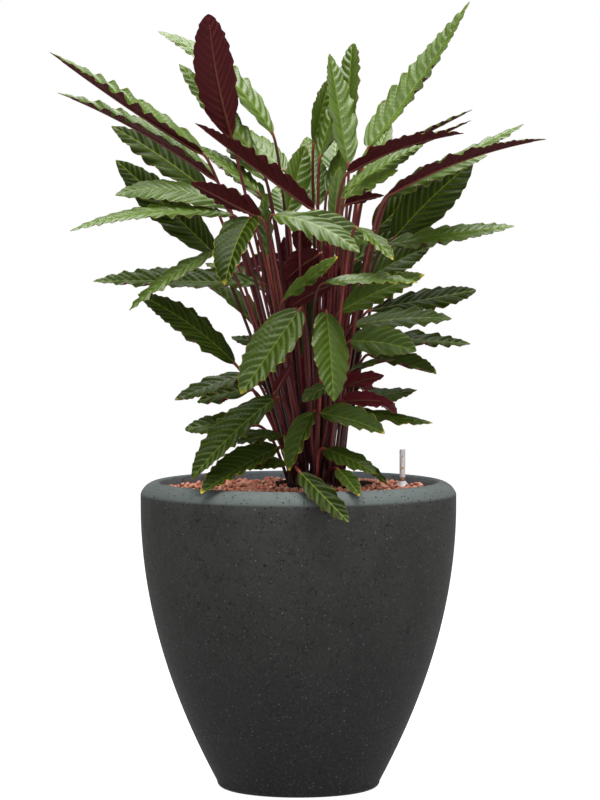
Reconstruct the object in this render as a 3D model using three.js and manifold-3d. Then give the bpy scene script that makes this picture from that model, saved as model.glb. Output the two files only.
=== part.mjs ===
// A potted wavestar calathea: a tapered planter filled with clay granules and a root ball, a water
// gauge standing in the granules, and leafy shoots whose long waved leaves are green above and
// maroon beneath. Millimetres, +Z up, the origin at the centre of the planter's flat underside.
import * as THREE from "three";
import { mergeVertices } from "three/addons/utils/BufferGeometryUtils.js";
import Module from "manifold-3d";

// Driving dimensions of the planter
const POT_HEIGHT = 428;
const POT_RADIUS = 220;
const POT_FOOT_RADIUS = 109;
const POT_WIDEST_AT = 392;
const POT_TAPER = 1.95;
const FOOT_ROUNDING = 9;
const MOUTH_RADIUS = 193.5;
const WALL = 14;
const FLOOR = 18;
const SHOULDER_DROP = 17;
const SHOULDER_TURN = 70;
const RIM_FLAT = 2.5;
const FLOOR_ROUNDING = 12;
const INNER_HEIGHTS = [262, 150, FLOOR + FLOOR_ROUNDING];
const POT_SIDES = 44;
const POT_STEP = 60;

// The filling
const GAP = 0.3;
const GRANULE_LEVEL = 416;
const GRANULE_MOUND = 9;
const GRANULE_RINGS = 6;
const GRANULE_SIDES = 42;
const GRANULE_RELIEF = 2.2;
const GRANULE_STRAY = 2.5;
const ROOT_CENTRE = new THREE.Vector2(34, 0);
const ROOT_RADIUS = 74;
const ROOT_BOTTOM = 215;
const SOIL_LEVEL = 424;
const SOIL_RELIEF = 2.5;
const ROOT_SIDES = 20;

// The water gauge
const GAUGE_AT = new THREE.Vector2(146, 40);
const TUBE_RADIUS = 4;
const TUBE_WALL = 0.8;
const TUBE_TOP = 469;
const TUBE_BOTTOM = 372;
const COLLAR_RADIUS = 11.5;
const COLLAR_HEIGHT = 8;
const FLOAT_TOP = 430;
const GAUGE_CLEARING = 33;
const GAUGE_SEAT = 416.5;

// The plant
const CROWN = new THREE.Vector2(42, 0);
const SHEATH_RADIUS = 5.4;
const SHEATH_TOP = SOIL_LEVEL + 8;
const SHEATH_BOTTOM = SOIL_LEVEL - 24;
const SHEATH_SIDES = 6;
const STALK_ROOT = SHEATH_TOP - 3;
const STALK_SPREAD = 3;
const STALK_THICK = 2.4;
const STALK_THIN = 1.9;
const BLADE_THICKNESS = 1.1;
const MIDRIB_SHARE = 1.6;
const LANCE = [0.58, 0.75];
const FOLD = [2, 12];
const TWIST = 14;
const WAVE_LENGTH = 68;
const WAVE_SHARE = 0.1;
const WAVE_MOST = 4.5;
const STALK_RISE = 20;
const STALK_STATIONS = [0.85, 0.4, 0];
const STALK_SECTION = [[-1, 0.3], [0, 0.9], [1, 0.3], [0.8, -0.5], [0, -0.9], [-0.8, -0.5]];

// The leaves are read off a front view: across and up are places in the upright plane through the
// planter's axis, seen from this point, and depth then moves the place along its line of sight.
const EYE = new THREE.Vector3(2.2, -5200, 828);

// Each shoot: where it stands, measured from the crown, then its leaves. A leaf's numbers are its
// foot (across, up, depth), its tip (across, up, depth), its width, the turn of its upper face
// towards the front in degrees, and how far over its middle the midrib's curve aims. Some leaves
// add how far each half folds up, in degrees, and how much their widest place leans to the tip.
const SHOOTS = {
  right_tall: [[10, -7], [
    [84, 546, -10, 165, 555, -20, 46, 24, -3, -6],
    [100, 604, -10, 192, 577, -30, 44, 28, 0, 28, 0.12],
    [124, 757, -20, 300, 783, -30, 48, 28, 4, 0],
    [123, 822, -25, 262, 881, -30, 44, 34, 14, 0],
    [133, 833, 0, 312, 924, 20, 46, 18, 0, -6],
  ]],
  right_front: [[6, -18], [
    [78, 529, -20, 187, 509, -40, 40, 14, -3, -6],
    [77, 644, -30, 213, 654, -50, 48, 30, 10],
    [124, 826, -55, 343, 903, -100, 46, -2, 22, 22],
  ]],
  right_foot: [[18, -24], [
    [77, 463, -45, 124, 422, -75, 24, 0, 6, -2],
  ]],
  right_behind: [[0, 21], [
    [86, 631, 56, 239, 619, 70, 44, 22, 0, 6, 0.1],
    [106, 775, 85, 184, 840, 130, 50, 50, 6],
    [78, 735, 80, 150, 775, 115, 46, 40, 6],
    [65, 868, 65, 75, 1035, 160, 48, -42, 8, 10, 0.2],
    [110, 880, 60, 241, 944, 70, 34, -6, 0, 6],
  ]],
  right_wide: [[9, 9], [
    [100, 666, 10, 247, 694, 20, 50, 32, 0, -2, 0.1],
    [133, 766, 45, 242, 872, 80, 64, 54, 8, 0],
  ]],
  top_right: [[0, -1], [
    [84, 700, 12, 183, 755, 28, 52, 45, 8],
    [69, 869, 0, 43, 1021, 55, 46, -10, 0, 16],
    [97, 891, 10, 237, 1093, 60, 58, 20, -10, 22, -0.2],
    [90, 860, 0, 239, 929, -20, 36, -2, 0, 4],
  ]],
  front_foot: [[-19, -60], [
    [21, 524, -90, -12, 442, -140, 46, -8, 6, 24],
    [36, 473, -85, 108, 437, -145, 44, 16, 6, -2],
    [30, 522, -80, 120, 494, -120, 46, 34, 8, 20],
  ]],
  front_low: [[-18, -43], [
    [1, 667, -110, -80, 549, -180, 66, 24, 0, 14],
    [39, 663, -115, 49, 539, -190, 56, -24, 12, 2],
    [43, 560, -80, 6, 538, -110, 30, 20, 4],
    [35, 704, -110, 166, 704, -150, 38, 20, 10, 2],
  ]],
  front_right: [[-3, -37], [
    [63, 540, -70, 132, 537, -110, 36, -40, 6],
    [63, 560, -50, 119, 575, -70, 36, -35, 4],
    [73, 623, -80, 164, 609, -120, 52, 50, 8],
    [72, 580, -50, 136, 597, -50, 30, 10, 6],
    [81, 781, -100, 131, 736, -150, 34, 0, 8],
  ]],
  heart_left: [[-21, -18], [
    [20, 806, -40, -143, 925, -110, 48, -12, -1, 28],
    [10, 800, -62, 97, 757, -80, 32, 60, 8],
    [30, 745, -38, -20, 705, -35, 50, -50, 6],
  ]],
  heart_right: [[-7, -11], [
    [62, 829, -22, 173, 895, -66, 48, 40, 8, -6],
    [65, 813, -30, 119, 825, -40, 34, -20, 4, 8],
  ]],
  heart_front: [[-9, -25], [
    [58, 664, -60, 175, 715, -80, 50, 45, 8],
    [69, 857, -60, 229, 911, -110, 46, -8, 18, 24],
    [62, 821, -50, 138, 860, -90, 36, 36, 6, -2],
    [50, 787, -30, 58, 865, -20, 24, 50, 4],
    [50, 705, -60, -15, 668, -75, 44, -40, 6],
  ]],
  top_behind: [[-9, 12], [
    [21, 897, 60, 41, 985, 110, 44, 74, 0, 8],
    [30, 879, 35, 58, 975, 85, 42, -20, 0, -4],
    [40, 830, 25, 72, 905, 45, 44, 6, 0, -4],
    [40, 668, 20, 65, 733, 3, 26, 0, 2],
  ]],
  left_behind: [[-32, 4], [
    [-54, 874, 20, -165, 1007, 50, 46, 32, 3, -2],
    [-36, 911, 40, -194, 1052, 90, 50, 22, 36, 6],
    [-56, 830, 10, -139, 894, 30, 40, 18, 8, 2],
    [-46, 847, 20, -100, 890, 60, 40, 8, 6, 4],
    [-16, 802, -10, 9, 894, 60, 46, 58, 0, 10],
    [-15, 797, 20, -30, 838, 90, 34, 20, 4],
    [8, 735, -5, 0, 790, -30, 34, 24, 2, 0],
  ]],
  left_foot: [[-54, 2], [
    [-67, 555, 10, -141, 538, 30, 44, 30, 6, 2],
    [-60, 506, 0, -158, 500, 20, 44, 36, 8, 4, 0.14],
  ]],
  left_wide_behind: [[-44, 10], [
    [-129, 833, 10, -259, 921, 50, 50, 42, 7, 6],
    [-118, 745, 30, -253, 874, 80, 58, 48, 3, 4],
    [-60, 645, 30, -130, 701, 60, 46, 20, 8, 30],
    [-50, 615, 40, -93, 629, 70, 34, 16, 4, 2],
  ]],
  left_front: [[-31, -29], [
    [-54, 795, -90, -149, 843, -130, 50, -22, 0, 16],
    [-66, 795, -110, -102, 701, -210, 62, -10, 23, 18],
    [-35, 798, -100, 85, 746, -170, 46, 30, 22, -6],
    [-21, 680, -80, 55, 740, -110, 40, 38, 0, 6],
  ]],
  left_tall: [[-40, -8], [
    [-93, 905, -30, -125, 1076, -100, 62, -52, -20, 6, 0.16],
    [-133, 883, -40, -344, 1023, -90, 54, 20, -6, 30, -0.1],
    [-115, 847, -30, -333, 967, -50, 46, 18, 17, 32, -0.12],
    [-52, 703, -30, -285, 706, -60, 52, 32, 3, 16],
  ]],
  left_wide: [[-40, -21], [
    [-100, 808, -60, -254, 826, -90, 48, 36, 33, -6],
    [-91, 798, -70, -317, 776, -140, 44, 20, 30, 0],
    [-115, 748, -90, -235, 666, -165, 44, 6, 13, 0],
    [-43, 741, -60, -49, 822, -30, 34, 60, 4],
  ]],
  left_low: [[-50, -15], [
    [-74, 577, -40, -172, 541, -70, 42, 22, 3, 2],
  ]],
  left_front_foot: [[-44, -46], [
    [-29, 474, -90, -136, 410, -185, 54, 24, 6, 26],
    [-15, 452, -70, -77, 445, -115, 34, 24, 6, 8],
  ]],
  left_front_low: [[-42, -34], [
    [-89, 592, -90, -223, 688, -108, 56, 42, 15, 2],
    [-33, 552, -100, -8, 592, -120, 24, 0, 2],
    [-32, 543, -80, -148, 431, -170, 58, 20, 12, 22],
    [-21, 490, -60, -85, 480, -110, 38, 20, 8, 8],
  ]],
  rim_left: [[-31, -58], [
    [2, 440, -185, 70, 370, -262, 38, 18, 0, 4],
  ]],
  rim_right: [[-7, -60], [
    [55, 444, -130, 85, 407, -212, 26, 10, 4],
  ]],
};

// The side of the plant that the front view hides is filled by a rule: shoots stand round the back
// of the crown, and each carries leaves one above the other, leaning out along its own bearing.
const BACK_SHOOTS = 5;
const BACK_BEARINGS = [68, 136];
const BACK_STAND = 46;
const BACK_FEET = [560, 690, 810];
// Leaves that stand upright behind the stalks, in the same numbers as the table above: one list
// for each shoot at the back.
const INNER_LEAVES = [
  [
    [62, 505, 62, 84, 665, 78, 50, 10, 4, 8],
    [58, 640, 100, 78, 790, 130, 48, 10, 4, 8],
  ],
  [
    [46, 612, 44, 42, 770, 46, 38, 186, 2, 6],
  ],
  [
    [20, 450, 27, 18, 625, 31, 54, 182, 2, 6],
    [14, 596, 28, 6, 772, 20, 58, 188, 2, 6],
  ],
  [
    [0, 600, 44, -20, 768, 60, 54, 178, 2, 6],
  ],
  [
    [-22, 470, 64, -44, 640, 78, 50, 6, 4, 8],
    [-34, 520, 84, -70, 690, 104, 50, -8, 4, 8],
    [-30, 640, 66, -58, 795, 84, 48, -6, 4, 8],
  ],
];

const wasm = await Module();
wasm.setup();

const radians = THREE.MathUtils.degToRad;

// A draw between 0 and 1 that is the same for the same number.
function draw(number) {
  const large = Math.sin(number * 12.9898) * 43758.5453;
  return large - Math.floor(large);
}

function between(low, high, number) {
  return low + (high - low) * draw(number);
}

function solidOf(geometry) {
  const bare = geometry.clone();
  bare.deleteAttribute("normal");
  bare.deleteAttribute("uv");
  const merged = mergeVertices(bare, 1e-4);
  return new wasm.Manifold(new wasm.Mesh({
    numProp: 3,
    vertProperties: new Float32Array(merged.attributes.position.array),
    triVerts: new Uint32Array(merged.index.array),
  }));
}

function geometryOf(solid) {
  const mesh = solid.getMesh();
  const geometry = new THREE.BufferGeometry();
  geometry.setAttribute("position", new THREE.BufferAttribute(mesh.vertProperties, 3));
  geometry.setIndex(new THREE.BufferAttribute(mesh.triVerts, 1));
  geometry.computeVertexNormals();
  return geometry;
}

function material(color, roughness, metalness = 0) {
  return new THREE.MeshStandardMaterial({ color, roughness, metalness });
}

function named(name, geometry, look) {
  const mesh = new THREE.Mesh(geometry, look);
  mesh.name = name;
  return mesh;
}

// A body turned about the vertical axis from [radius, height] points that run round its section
// with the material on their left.
function turned(points, sides) {
  const outline = points.map(([radius, height]) => new THREE.Vector2(radius, height));
  return new THREE.LatheGeometry(outline, sides).rotateX(Math.PI / 2);
}

// Planter
function outerRadius(height) {
  const below = Math.max(0, POT_WIDEST_AT - height) / POT_WIDEST_AT;
  return POT_RADIUS - (POT_RADIUS - POT_FOOT_RADIUS) * below ** POT_TAPER;
}

function innerRadius(height) {
  return Math.min(MOUTH_RADIUS, outerRadius(height) - WALL);
}

function planter() {
  const corner = outerRadius(FOOT_ROUNDING);
  const points = [[0, 0]];
  for (const angle of [0, 45]) {
    points.push([
      corner - FOOT_ROUNDING + FOOT_ROUNDING * Math.sin(radians(angle)),
      FOOT_ROUNDING - FOOT_ROUNDING * Math.cos(radians(angle)),
    ]);
  }
  for (let height = FOOT_ROUNDING; height < POT_WIDEST_AT - 20; height += POT_STEP) {
    points.push([outerRadius(height), height]);
  }
  points.push([POT_RADIUS, POT_WIDEST_AT]);
  const rimRadius = MOUTH_RADIUS + RIM_FLAT;
  const full = radians(SHOULDER_TURN);
  for (const part of [1, 0.67, 0.33, 0]) {
    points.push([
      rimRadius + (POT_RADIUS - rimRadius) * Math.sin(full * part) / Math.sin(full),
      POT_HEIGHT - SHOULDER_DROP * (1 - Math.cos(full * part)) / (1 - Math.cos(full)),
    ]);
  }
  points.push([MOUTH_RADIUS, POT_HEIGHT - RIM_FLAT]);
  for (const height of INNER_HEIGHTS) points.push([innerRadius(height), height]);
  points.push([innerRadius(FLOOR) - FLOOR_ROUNDING, FLOOR], [0, FLOOR]);
  return turned(points, POT_SIDES);
}

// A closed round body from rings of as many points each, from the middle of its top, out and down
// to the middle of its underside.
function ringedBody(rings) {
  const sides = rings[0].length;
  const index = [];
  for (let ring = 0; ring < rings.length - 1; ring += 1) {
    const here = ring * sides;
    const next = here + sides;
    for (let side = 0; side < sides; side += 1) {
      const beside = (side + 1) % sides;
      index.push(here + side, next + side, next + beside);
      index.push(here + side, next + beside, here + beside);
    }
  }
  const geometry = new THREE.BufferGeometry().setFromPoints(rings.flat());
  geometry.setIndex(index);
  return geometry;
}

function circle(centre, radius, height, sides) {
  return Array.from({ length: sides }, (_, side) => {
    const angle = 2 * Math.PI * side / sides;
    return new THREE.Vector3(
      centre.x + radius * Math.cos(angle),
      centre.y + radius * Math.sin(angle),
      height,
    );
  });
}

// Clay granules: a filling with a pocket for the root ball, its top raised into coarse grains,
// mounded towards the root ball, and level under the gauge's foot.
function granules() {
  const axis = new THREE.Vector2(0, 0);
  const pocket = ROOT_RADIUS + GAP;
  const pocketFloor = ROOT_BOTTOM - GAP;
  const sides = GRANULE_SIDES;
  const inner = circle(ROOT_CENTRE, pocket, GRANULE_LEVEL, sides);
  const outer = circle(axis, MOUTH_RADIUS - 2 * GAP, GRANULE_LEVEL, sides);
  const rings = [
    circle(ROOT_CENTRE, 0, pocketFloor, sides),
    circle(ROOT_CENTRE, pocket, pocketFloor, sides),
  ];
  for (let ring = 0; ring <= GRANULE_RINGS; ring += 1) {
    const share = ring / GRANULE_RINGS;
    const edge = ring === 0 || ring === GRANULE_RINGS;
    rings.push(inner.map((point, side) => {
      const place = point.clone().lerp(outer[side], share);
      const seed = ring * 101 + side;
      if (!edge) {
        place.x += between(-GRANULE_STRAY, GRANULE_STRAY, seed);
        place.y += between(-GRANULE_STRAY, GRANULE_STRAY, seed + 0.3);
      }
      const cleared = Math.hypot(place.x - GAUGE_AT.x, place.y - GAUGE_AT.y) < GAUGE_CLEARING;
      const grain = (ring + side) % 2 ? 1 : between(-0.6, 0.4, seed + 0.6);
      place.z += GRANULE_MOUND * (1 - share) ** 2 + GRANULE_RELIEF * grain;
      if (cleared) place.z = GAUGE_SEAT;
      return place;
    }));
  }
  for (const height of INNER_HEIGHTS) {
    rings.push(circle(axis, innerRadius(height) - 2 * GAP, height, sides));
  }
  rings.push(circle(axis, innerRadius(FLOOR) - FLOOR_ROUNDING - 1, FLOOR + GAP, sides));
  rings.push(circle(ROOT_CENTRE, 0, FLOOR + GAP, sides));
  const hole = rod(GAUGE_AT, TUBE_RADIUS + GAP, TUBE_BOTTOM - GAP, POT_HEIGHT);
  return solidOf(ringedBody(rings)).subtract(hole);
}

// An upright rod as a solid, for the holes that others stand in.
function rod(centre, radius, bottom, top, sides = 12, topRadius = radius) {
  const height = top - bottom;
  const cylinder = new THREE.CylinderGeometry(topRadius, radius, height, sides);
  cylinder.rotateX(Math.PI / 2);
  cylinder.translate(centre.x, centre.y, bottom + height / 2);
  return solidOf(cylinder);
}

// Root ball: dark soil with an uneven top, and a plain hole for each shoot.
function rootBall(stands) {
  const rings = [circle(ROOT_CENTRE, 0, SOIL_LEVEL, ROOT_SIDES)];
  for (const reach of [0.3, 0.62, 0.9]) {
    rings.push(circle(ROOT_CENTRE, ROOT_RADIUS * reach, SOIL_LEVEL, ROOT_SIDES).map((point, side) => {
      point.z += between(-SOIL_RELIEF, SOIL_RELIEF, side + 50 * reach) - 3 * reach ** 4;
      return point;
    }));
  }
  rings.push(circle(ROOT_CENTRE, ROOT_RADIUS, SOIL_LEVEL - 7, ROOT_SIDES));
  rings.push(circle(ROOT_CENTRE, ROOT_RADIUS, ROOT_BOTTOM + 25, ROOT_SIDES));
  rings.push(circle(ROOT_CENTRE, ROOT_RADIUS - 14, ROOT_BOTTOM, ROOT_SIDES));
  rings.push(circle(ROOT_CENTRE, 0, ROOT_BOTTOM, ROOT_SIDES));
  let soil = solidOf(ringedBody(rings));
  for (const stand of stands) {
    const hole = rod(stand, SHEATH_RADIUS + GAP, SHEATH_BOTTOM - GAP, POT_HEIGHT + 20, SHEATH_SIDES);
    soil = soil.subtract(hole);
  }
  return soil;
}

// Water gauge
function gaugeTube() {
  const bore = TUBE_RADIUS - TUBE_WALL;
  return turned([
    [bore, TUBE_BOTTOM], [TUBE_RADIUS, TUBE_BOTTOM], [TUBE_RADIUS, TUBE_TOP],
    [0, TUBE_TOP], [0, TUBE_TOP - TUBE_WALL], [bore, TUBE_TOP - TUBE_WALL], [bore, TUBE_BOTTOM],
  ], 16);
}

function gaugeCollar() {
  const bottom = GAUGE_SEAT + GAP;
  const bore = TUBE_RADIUS + GAP;
  return turned([
    [bore, bottom], [COLLAR_RADIUS, bottom], [COLLAR_RADIUS, bottom + 1],
    [bore + 3, bottom + COLLAR_HEIGHT - 2], [bore + 1.6, bottom + COLLAR_HEIGHT],
    [bore, bottom + COLLAR_HEIGHT], [bore, bottom],
  ], 20);
}

function gaugeFloat() {
  const head = TUBE_RADIUS - TUBE_WALL - GAP - 0.2;
  return turned([
    [0, TUBE_BOTTOM + 1], [1, TUBE_BOTTOM + 1], [1, FLOAT_TOP - 8], [head, FLOAT_TOP - 6],
    [head, FLOAT_TOP - 1], [head - 1, FLOAT_TOP], [0, FLOAT_TOP],
  ], 10);
}

// A place of the front view, moved along its line of sight to its depth behind the planter's axis.
function seen(across, up, depth) {
  const reach = (depth - EYE.y) / -EYE.y;
  return new THREE.Vector3(across, 0, up).sub(EYE).multiplyScalar(reach).add(EYE);
}

// How wide the lance-shaped blade is at a share of its length, against its widest.
function lance(share, lean) {
  const toFoot = LANCE[0] + lean;
  const toTip = LANCE[1] - lean;
  const widest = toFoot / (toFoot + toTip);
  return share ** toFoot * (1 - share) ** toTip / (widest ** toFoot * (1 - widest) ** toTip);
}

// A direction's part across another one, at length 1.
function squared(direction, axis) {
  return direction.clone().addScaledVector(axis, -direction.dot(axis)).normalize();
}

// One leaf with its stalk, as rings of six points from the soil to the tip: the left edge, the
// midrib and the right edge of the upper face, then the same of the underside, back to the left.
function leafRings(root, { foot, tip, seed, width, turn, bow, folded, lean = 0 }) {
  const chord = tip.clone().sub(foot);
  const length = chord.length();
  const along = chord.clone().normalize();
  const level = squared(new THREE.Vector3(0, 0, 1), along);
  const flank = along.clone().cross(level);
  if (flank.y > 0) flank.negate();
  const face = level.clone().multiplyScalar(Math.cos(radians(turn)));
  face.addScaledVector(flank, Math.sin(radians(turn)));
  const fold = radians(folded ?? between(...FOLD, seed));
  const twist = radians(between(-TWIST, TWIST, seed + 0.3));
  const wave = Math.min(WAVE_MOST, WAVE_SHARE * width) * between(0.8, 1.1, seed + 0.6);
  const halfWaves = 2 * Math.max(2, Math.round(length / WAVE_LENGTH));
  const midrib = (share) => foot.clone()
    .addScaledVector(chord, share)
    .addScaledVector(level, bow * 2 * share * (1 - share));
  const heading = (share) => midrib(share + 0.01).sub(midrib(share - 0.01)).normalize();

  const rise = foot.clone().sub(root);
  const bend = Math.min(30, 0.3 * rise.length(), 0.25 * length);
  const stalk = new THREE.CubicBezierCurve3(
    root,
    root.clone().add(new THREE.Vector3(0.25 * rise.x, 0.25 * rise.y, Math.max(STALK_RISE, 0.38 * rise.z))),
    foot.clone().addScaledVector(heading(0), -bend),
    foot,
  );
  const rings = [];
  let upper = squared(face, heading(0));
  for (const share of STALK_STATIONS) {
    const direction = stalk.getTangent(share);
    upper = squared(upper, direction);
    const side = direction.clone().cross(upper);
    const thick = THREE.MathUtils.lerp(STALK_THICK, STALK_THIN, share);
    const centre = stalk.getPoint(share);
    rings.unshift(STALK_SECTION.map(([across, up]) => centre.clone()
      .addScaledVector(side, -across * thick)
      .addScaledVector(upper, up * thick)));
  }
  for (let station = 0; station <= halfWaves; station += 1) {
    const share = station / halfWaves;
    const direction = heading(share);
    const flat = squared(face, direction);
    const normal = flat.clone().applyAxisAngle(direction, twist * (share - 0.4));
    const side = direction.clone().cross(normal);
    const end = share < 0.5 ? STALK_THIN * 0.85 : 0.9;
    const half = Math.max(end, width / 2 * lance(share, lean));
    const swing = station === 0 || station === halfWaves ? 0 : Math.sin(Math.PI * share) ** 0.6;
    const crest = wave * swing * (station % 2 ? 1 : -1);
    const upperPoints = [];
    const underPoints = [];
    for (const edge of [-1, 0, 1]) {
      const lift = Math.abs(edge) * half * Math.sin(fold) + crest * edge;
      const point = midrib(share)
        .addScaledVector(side, -edge * half * Math.cos(fold))
        .addScaledVector(normal, lift);
      const outward = normal.clone().multiplyScalar(edge ? Math.cos(fold) : 1);
      outward.addScaledVector(side, edge * Math.sin(fold));
      const thick = BLADE_THICKNESS / 2 * (edge ? 1 : MIDRIB_SHARE);
      upperPoints.push(point.clone().addScaledVector(outward, thick));
      underPoints.unshift(point.clone().addScaledVector(outward, -thick));
    }
    rings.push([...upperPoints, ...underPoints]);
  }
  return rings;
}

// The closed body of a leaf. Both faces of the blade are split alike, left and right mirrored.
function leafSolid(rings) {
  const cap = [0, 1, 5, 1, 4, 5, 1, 3, 4, 1, 2, 3];
  const last = (rings.length - 1) * 6;
  const index = [...cap, ...cap.map((corner) => last + corner).reverse()];
  for (let ring = 0; ring < rings.length - 1; ring += 1) {
    for (let column = 0; column < 6; column += 1) {
      const here = ring * 6 + column;
      const beside = ring * 6 + (column + 1) % 6;
      if (column === 1 || column === 4) index.push(here, here + 6, beside, beside, here + 6, beside + 6);
      else index.push(here, beside + 6, beside, here, here + 6, beside + 6);
    }
  }
  const geometry = new THREE.BufferGeometry().setFromPoints(rings.flat());
  geometry.setIndex(index);
  return solidOf(geometry);
}

// Where the stalks leave their sheath: each stands off the middle the way that it leans, so that no
// two cross on their way up.
function stalkRoots(stand, leaves) {
  const base = new THREE.Vector3(stand.x, stand.y, STALK_ROOT);
  const leans = leaves.map(({ foot }) => foot.clone().sub(base).normalize().setZ(0));
  const mean = new THREE.Vector3();
  for (const lean of leans) mean.addScaledVector(lean, 1 / leans.length);
  for (const lean of leans) lean.sub(mean);
  const most = Math.max(0.01, ...leans.map((lean) => lean.length()));
  return leans.map((lean) => base.clone().addScaledVector(lean, STALK_SPREAD / most));
}

// A leafy shoot: a short sheath in the soil that its leaves' stalks grow from.
function shoot(stand, leaves) {
  const roots = stalkRoots(stand, leaves);
  let solid = rod(stand, SHEATH_RADIUS, SHEATH_BOTTOM, SHEATH_TOP, SHEATH_SIDES);
  leaves.forEach((leaf, number) => {
    solid = solid.add(leafSolid(leafRings(roots[number], leaf)));
  });
  return solid;
}

// A leaf from a row of the tables.
function leafOf(row, seed) {
  const [width, turn, bow, folded, lean] = row.slice(6);
  return {
    foot: seen(...row.slice(0, 3)),
    tip: seen(...row.slice(3, 6)),
    seed,
    width,
    turn,
    bow,
    folded,
    lean,
  };
}

function frontShoots() {
  let seed = 0;
  return Object.entries(SHOOTS).map(([name, [[x, y], rows]]) => ({
    name,
    stand: new THREE.Vector2(x, y).add(CROWN),
    leaves: rows.map((row) => {
      seed += 1;
      return leafOf(row, seed);
    }),
  }));
}

function backShoots() {
  return Array.from({ length: BACK_SHOOTS }, (_, number) => {
    const share = number / (BACK_SHOOTS - 1);
    const bearing = radians(THREE.MathUtils.lerp(...BACK_BEARINGS, share));
    const towards = (angle, reach, height) => new THREE.Vector3(
      CROWN.x + reach * Math.cos(angle),
      reach * Math.sin(angle),
      height,
    );
    const stand = towards(bearing, BACK_STAND, 0);
    const leaves = BACK_FEET.map((height, tier) => {
      const seed = 200 + number * 10 + tier;
      const angle = bearing + radians(between(-5, 5, seed + 0.1));
      const footReach = BACK_STAND + (0.2 + 0.1 * (2 - tier)) * (height - SOIL_LEVEL);
      const rise = between(-70, 10, seed + 0.2) + 55 * tier + (number % 2) * 20;
      return {
        foot: towards(angle, footReach, height + (number % 2) * 50),
        tip: towards(angle + radians(between(-6, 6, seed + 0.4)), footReach + 150, height + rise),
        width: between(42, 52, seed + 0.5),
        turn: between(-12, 12, seed + 0.7),
        bow: 10,
        seed,
      };
    });
    leaves.push(...INNER_LEAVES[number].map((row, place) => leafOf(row, 300 + number * 10 + place)));
    return { name: `back_${number + 1}`, stand: new THREE.Vector2(stand.x, stand.y), leaves };
  });
}

const plant = new THREE.Group();
plant.name = "potted_wavestar_calathea";
const clay = material(0x8f6154, 0.9);
const clear = material(0xdfe3e4, 0.15);

plant.add(named("planter", planter(), material(0x373736, 0.85)));
plant.add(named("clay_granules", geometryOf(granules()), clay));

const shoots = [...frontShoots(), ...backShoots()];
const stands = shoots.map(({ stand }) => stand);
plant.add(named("root_ball", geometryOf(rootBall(stands)), material(0x1d1512, 0.95)));

const gauge = new THREE.Group();
gauge.position.set(GAUGE_AT.x, GAUGE_AT.y, 0);
gauge.add(named("gauge_tube", gaugeTube(), clear));
gauge.add(named("gauge_collar", gaugeCollar(), clear));
gauge.add(named("gauge_float", gaugeFloat(), material(0x7a2b1e, 0.5)));
plant.add(gauge);

const leafGreen = material(0x3f5f2c, 0.42);
for (const { name, stand, leaves } of shoots) {
  plant.add(named(`shoot_${name}`, geometryOf(shoot(stand, leaves)), leafGreen));
}

export default plant;
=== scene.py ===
# The looks of a potted wavestar calathea: a prayer plant whose long waved leaves are green above and
# maroon beneath, in a stone-grey planter filled with clay granules. The leaf table and the leaf's
# formula are in millimetres, as the model's own are, and the finished meshes are in metres.
import math

import bmesh
import bpy
import numpy as np
from mathutils import Matrix, noise, Vector

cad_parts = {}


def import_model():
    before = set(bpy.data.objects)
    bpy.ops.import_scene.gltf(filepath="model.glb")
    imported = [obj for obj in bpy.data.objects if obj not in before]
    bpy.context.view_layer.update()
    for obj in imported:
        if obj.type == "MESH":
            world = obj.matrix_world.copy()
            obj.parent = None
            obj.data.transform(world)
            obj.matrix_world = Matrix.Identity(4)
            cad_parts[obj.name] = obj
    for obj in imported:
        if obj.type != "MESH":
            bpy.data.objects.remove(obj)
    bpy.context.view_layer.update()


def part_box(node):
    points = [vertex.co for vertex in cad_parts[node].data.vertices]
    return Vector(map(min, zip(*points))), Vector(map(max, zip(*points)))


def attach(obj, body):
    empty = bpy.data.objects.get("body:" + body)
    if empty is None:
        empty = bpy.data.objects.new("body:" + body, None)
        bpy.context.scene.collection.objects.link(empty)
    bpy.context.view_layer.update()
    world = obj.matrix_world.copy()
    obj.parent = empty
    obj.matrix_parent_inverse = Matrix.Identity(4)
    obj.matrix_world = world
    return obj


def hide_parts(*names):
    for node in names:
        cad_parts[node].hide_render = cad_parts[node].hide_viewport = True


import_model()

MM = 0.001

# Points closer than this are joined, and a body keeps this gap to what it touches
WELD = 0.001 * MM
FIT = 0.3

# Planter
POT_HEIGHT = 428
POT_RADIUS = 220
POT_FOOT_RADIUS = 109
POT_WIDEST_AT = 392
POT_TAPER = 1.95
FOOT_ROUNDING = 9
MOUTH_RADIUS = 193.5
WALL = 14
FLOOR = 18
FLOOR_CORNER = 12
SHOULDER_DROP = 17
SHOULDER_TURN = 70
RIM_FLAT = 2.5
POT_SIDES = 192

# Filling: the loose granules lie in rows on a bed that is a little lower than their level
GRANULE_LEVEL = 416
GRANULE_MOUND = 9
MOUND_REACH = 110
GRANULE_PITCH = 7.1
GRANULE_RADIUS = (2.5, 3.6)
GRANULE_LOWER = (-5.0, -2.2)
GRANULE_UPPER = (-0.6, 1.4)
GRANULE_UPPER_SHARE = 0.3
GRANULE_SHIFT = 1.5
GRANULE_UPPER_SHIFT = 3
BED_DROP = 6.5
LUMP_SHAPES = 12
ROOT_CENTRE = np.array([34.0, 0.0])
ROOT_RADIUS = 74
ROOT_BOTTOM = 215
SOIL_LEVEL = 424
SOIL_LUMPS = 9
SOIL_ROUGHNESS = 2.2
CRUMBS = 500
CRUMB_RADIUS = (0.9, 2.6)

# Water gauge
GAUGE_AT = np.array([146.0, 40.0])
TUBE_RADIUS = 4
TUBE_WALL = 0.8
TUBE_TOP = 469
TUBE_BOTTOM = 372
COLLAR_RADIUS = 11.5
COLLAR_HEIGHT = 8
COLLAR_CLEARING = 9
COLLAR_SINK = 3.6
FLOAT_TOP = 430
FLOAT_ROD = 1
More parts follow.
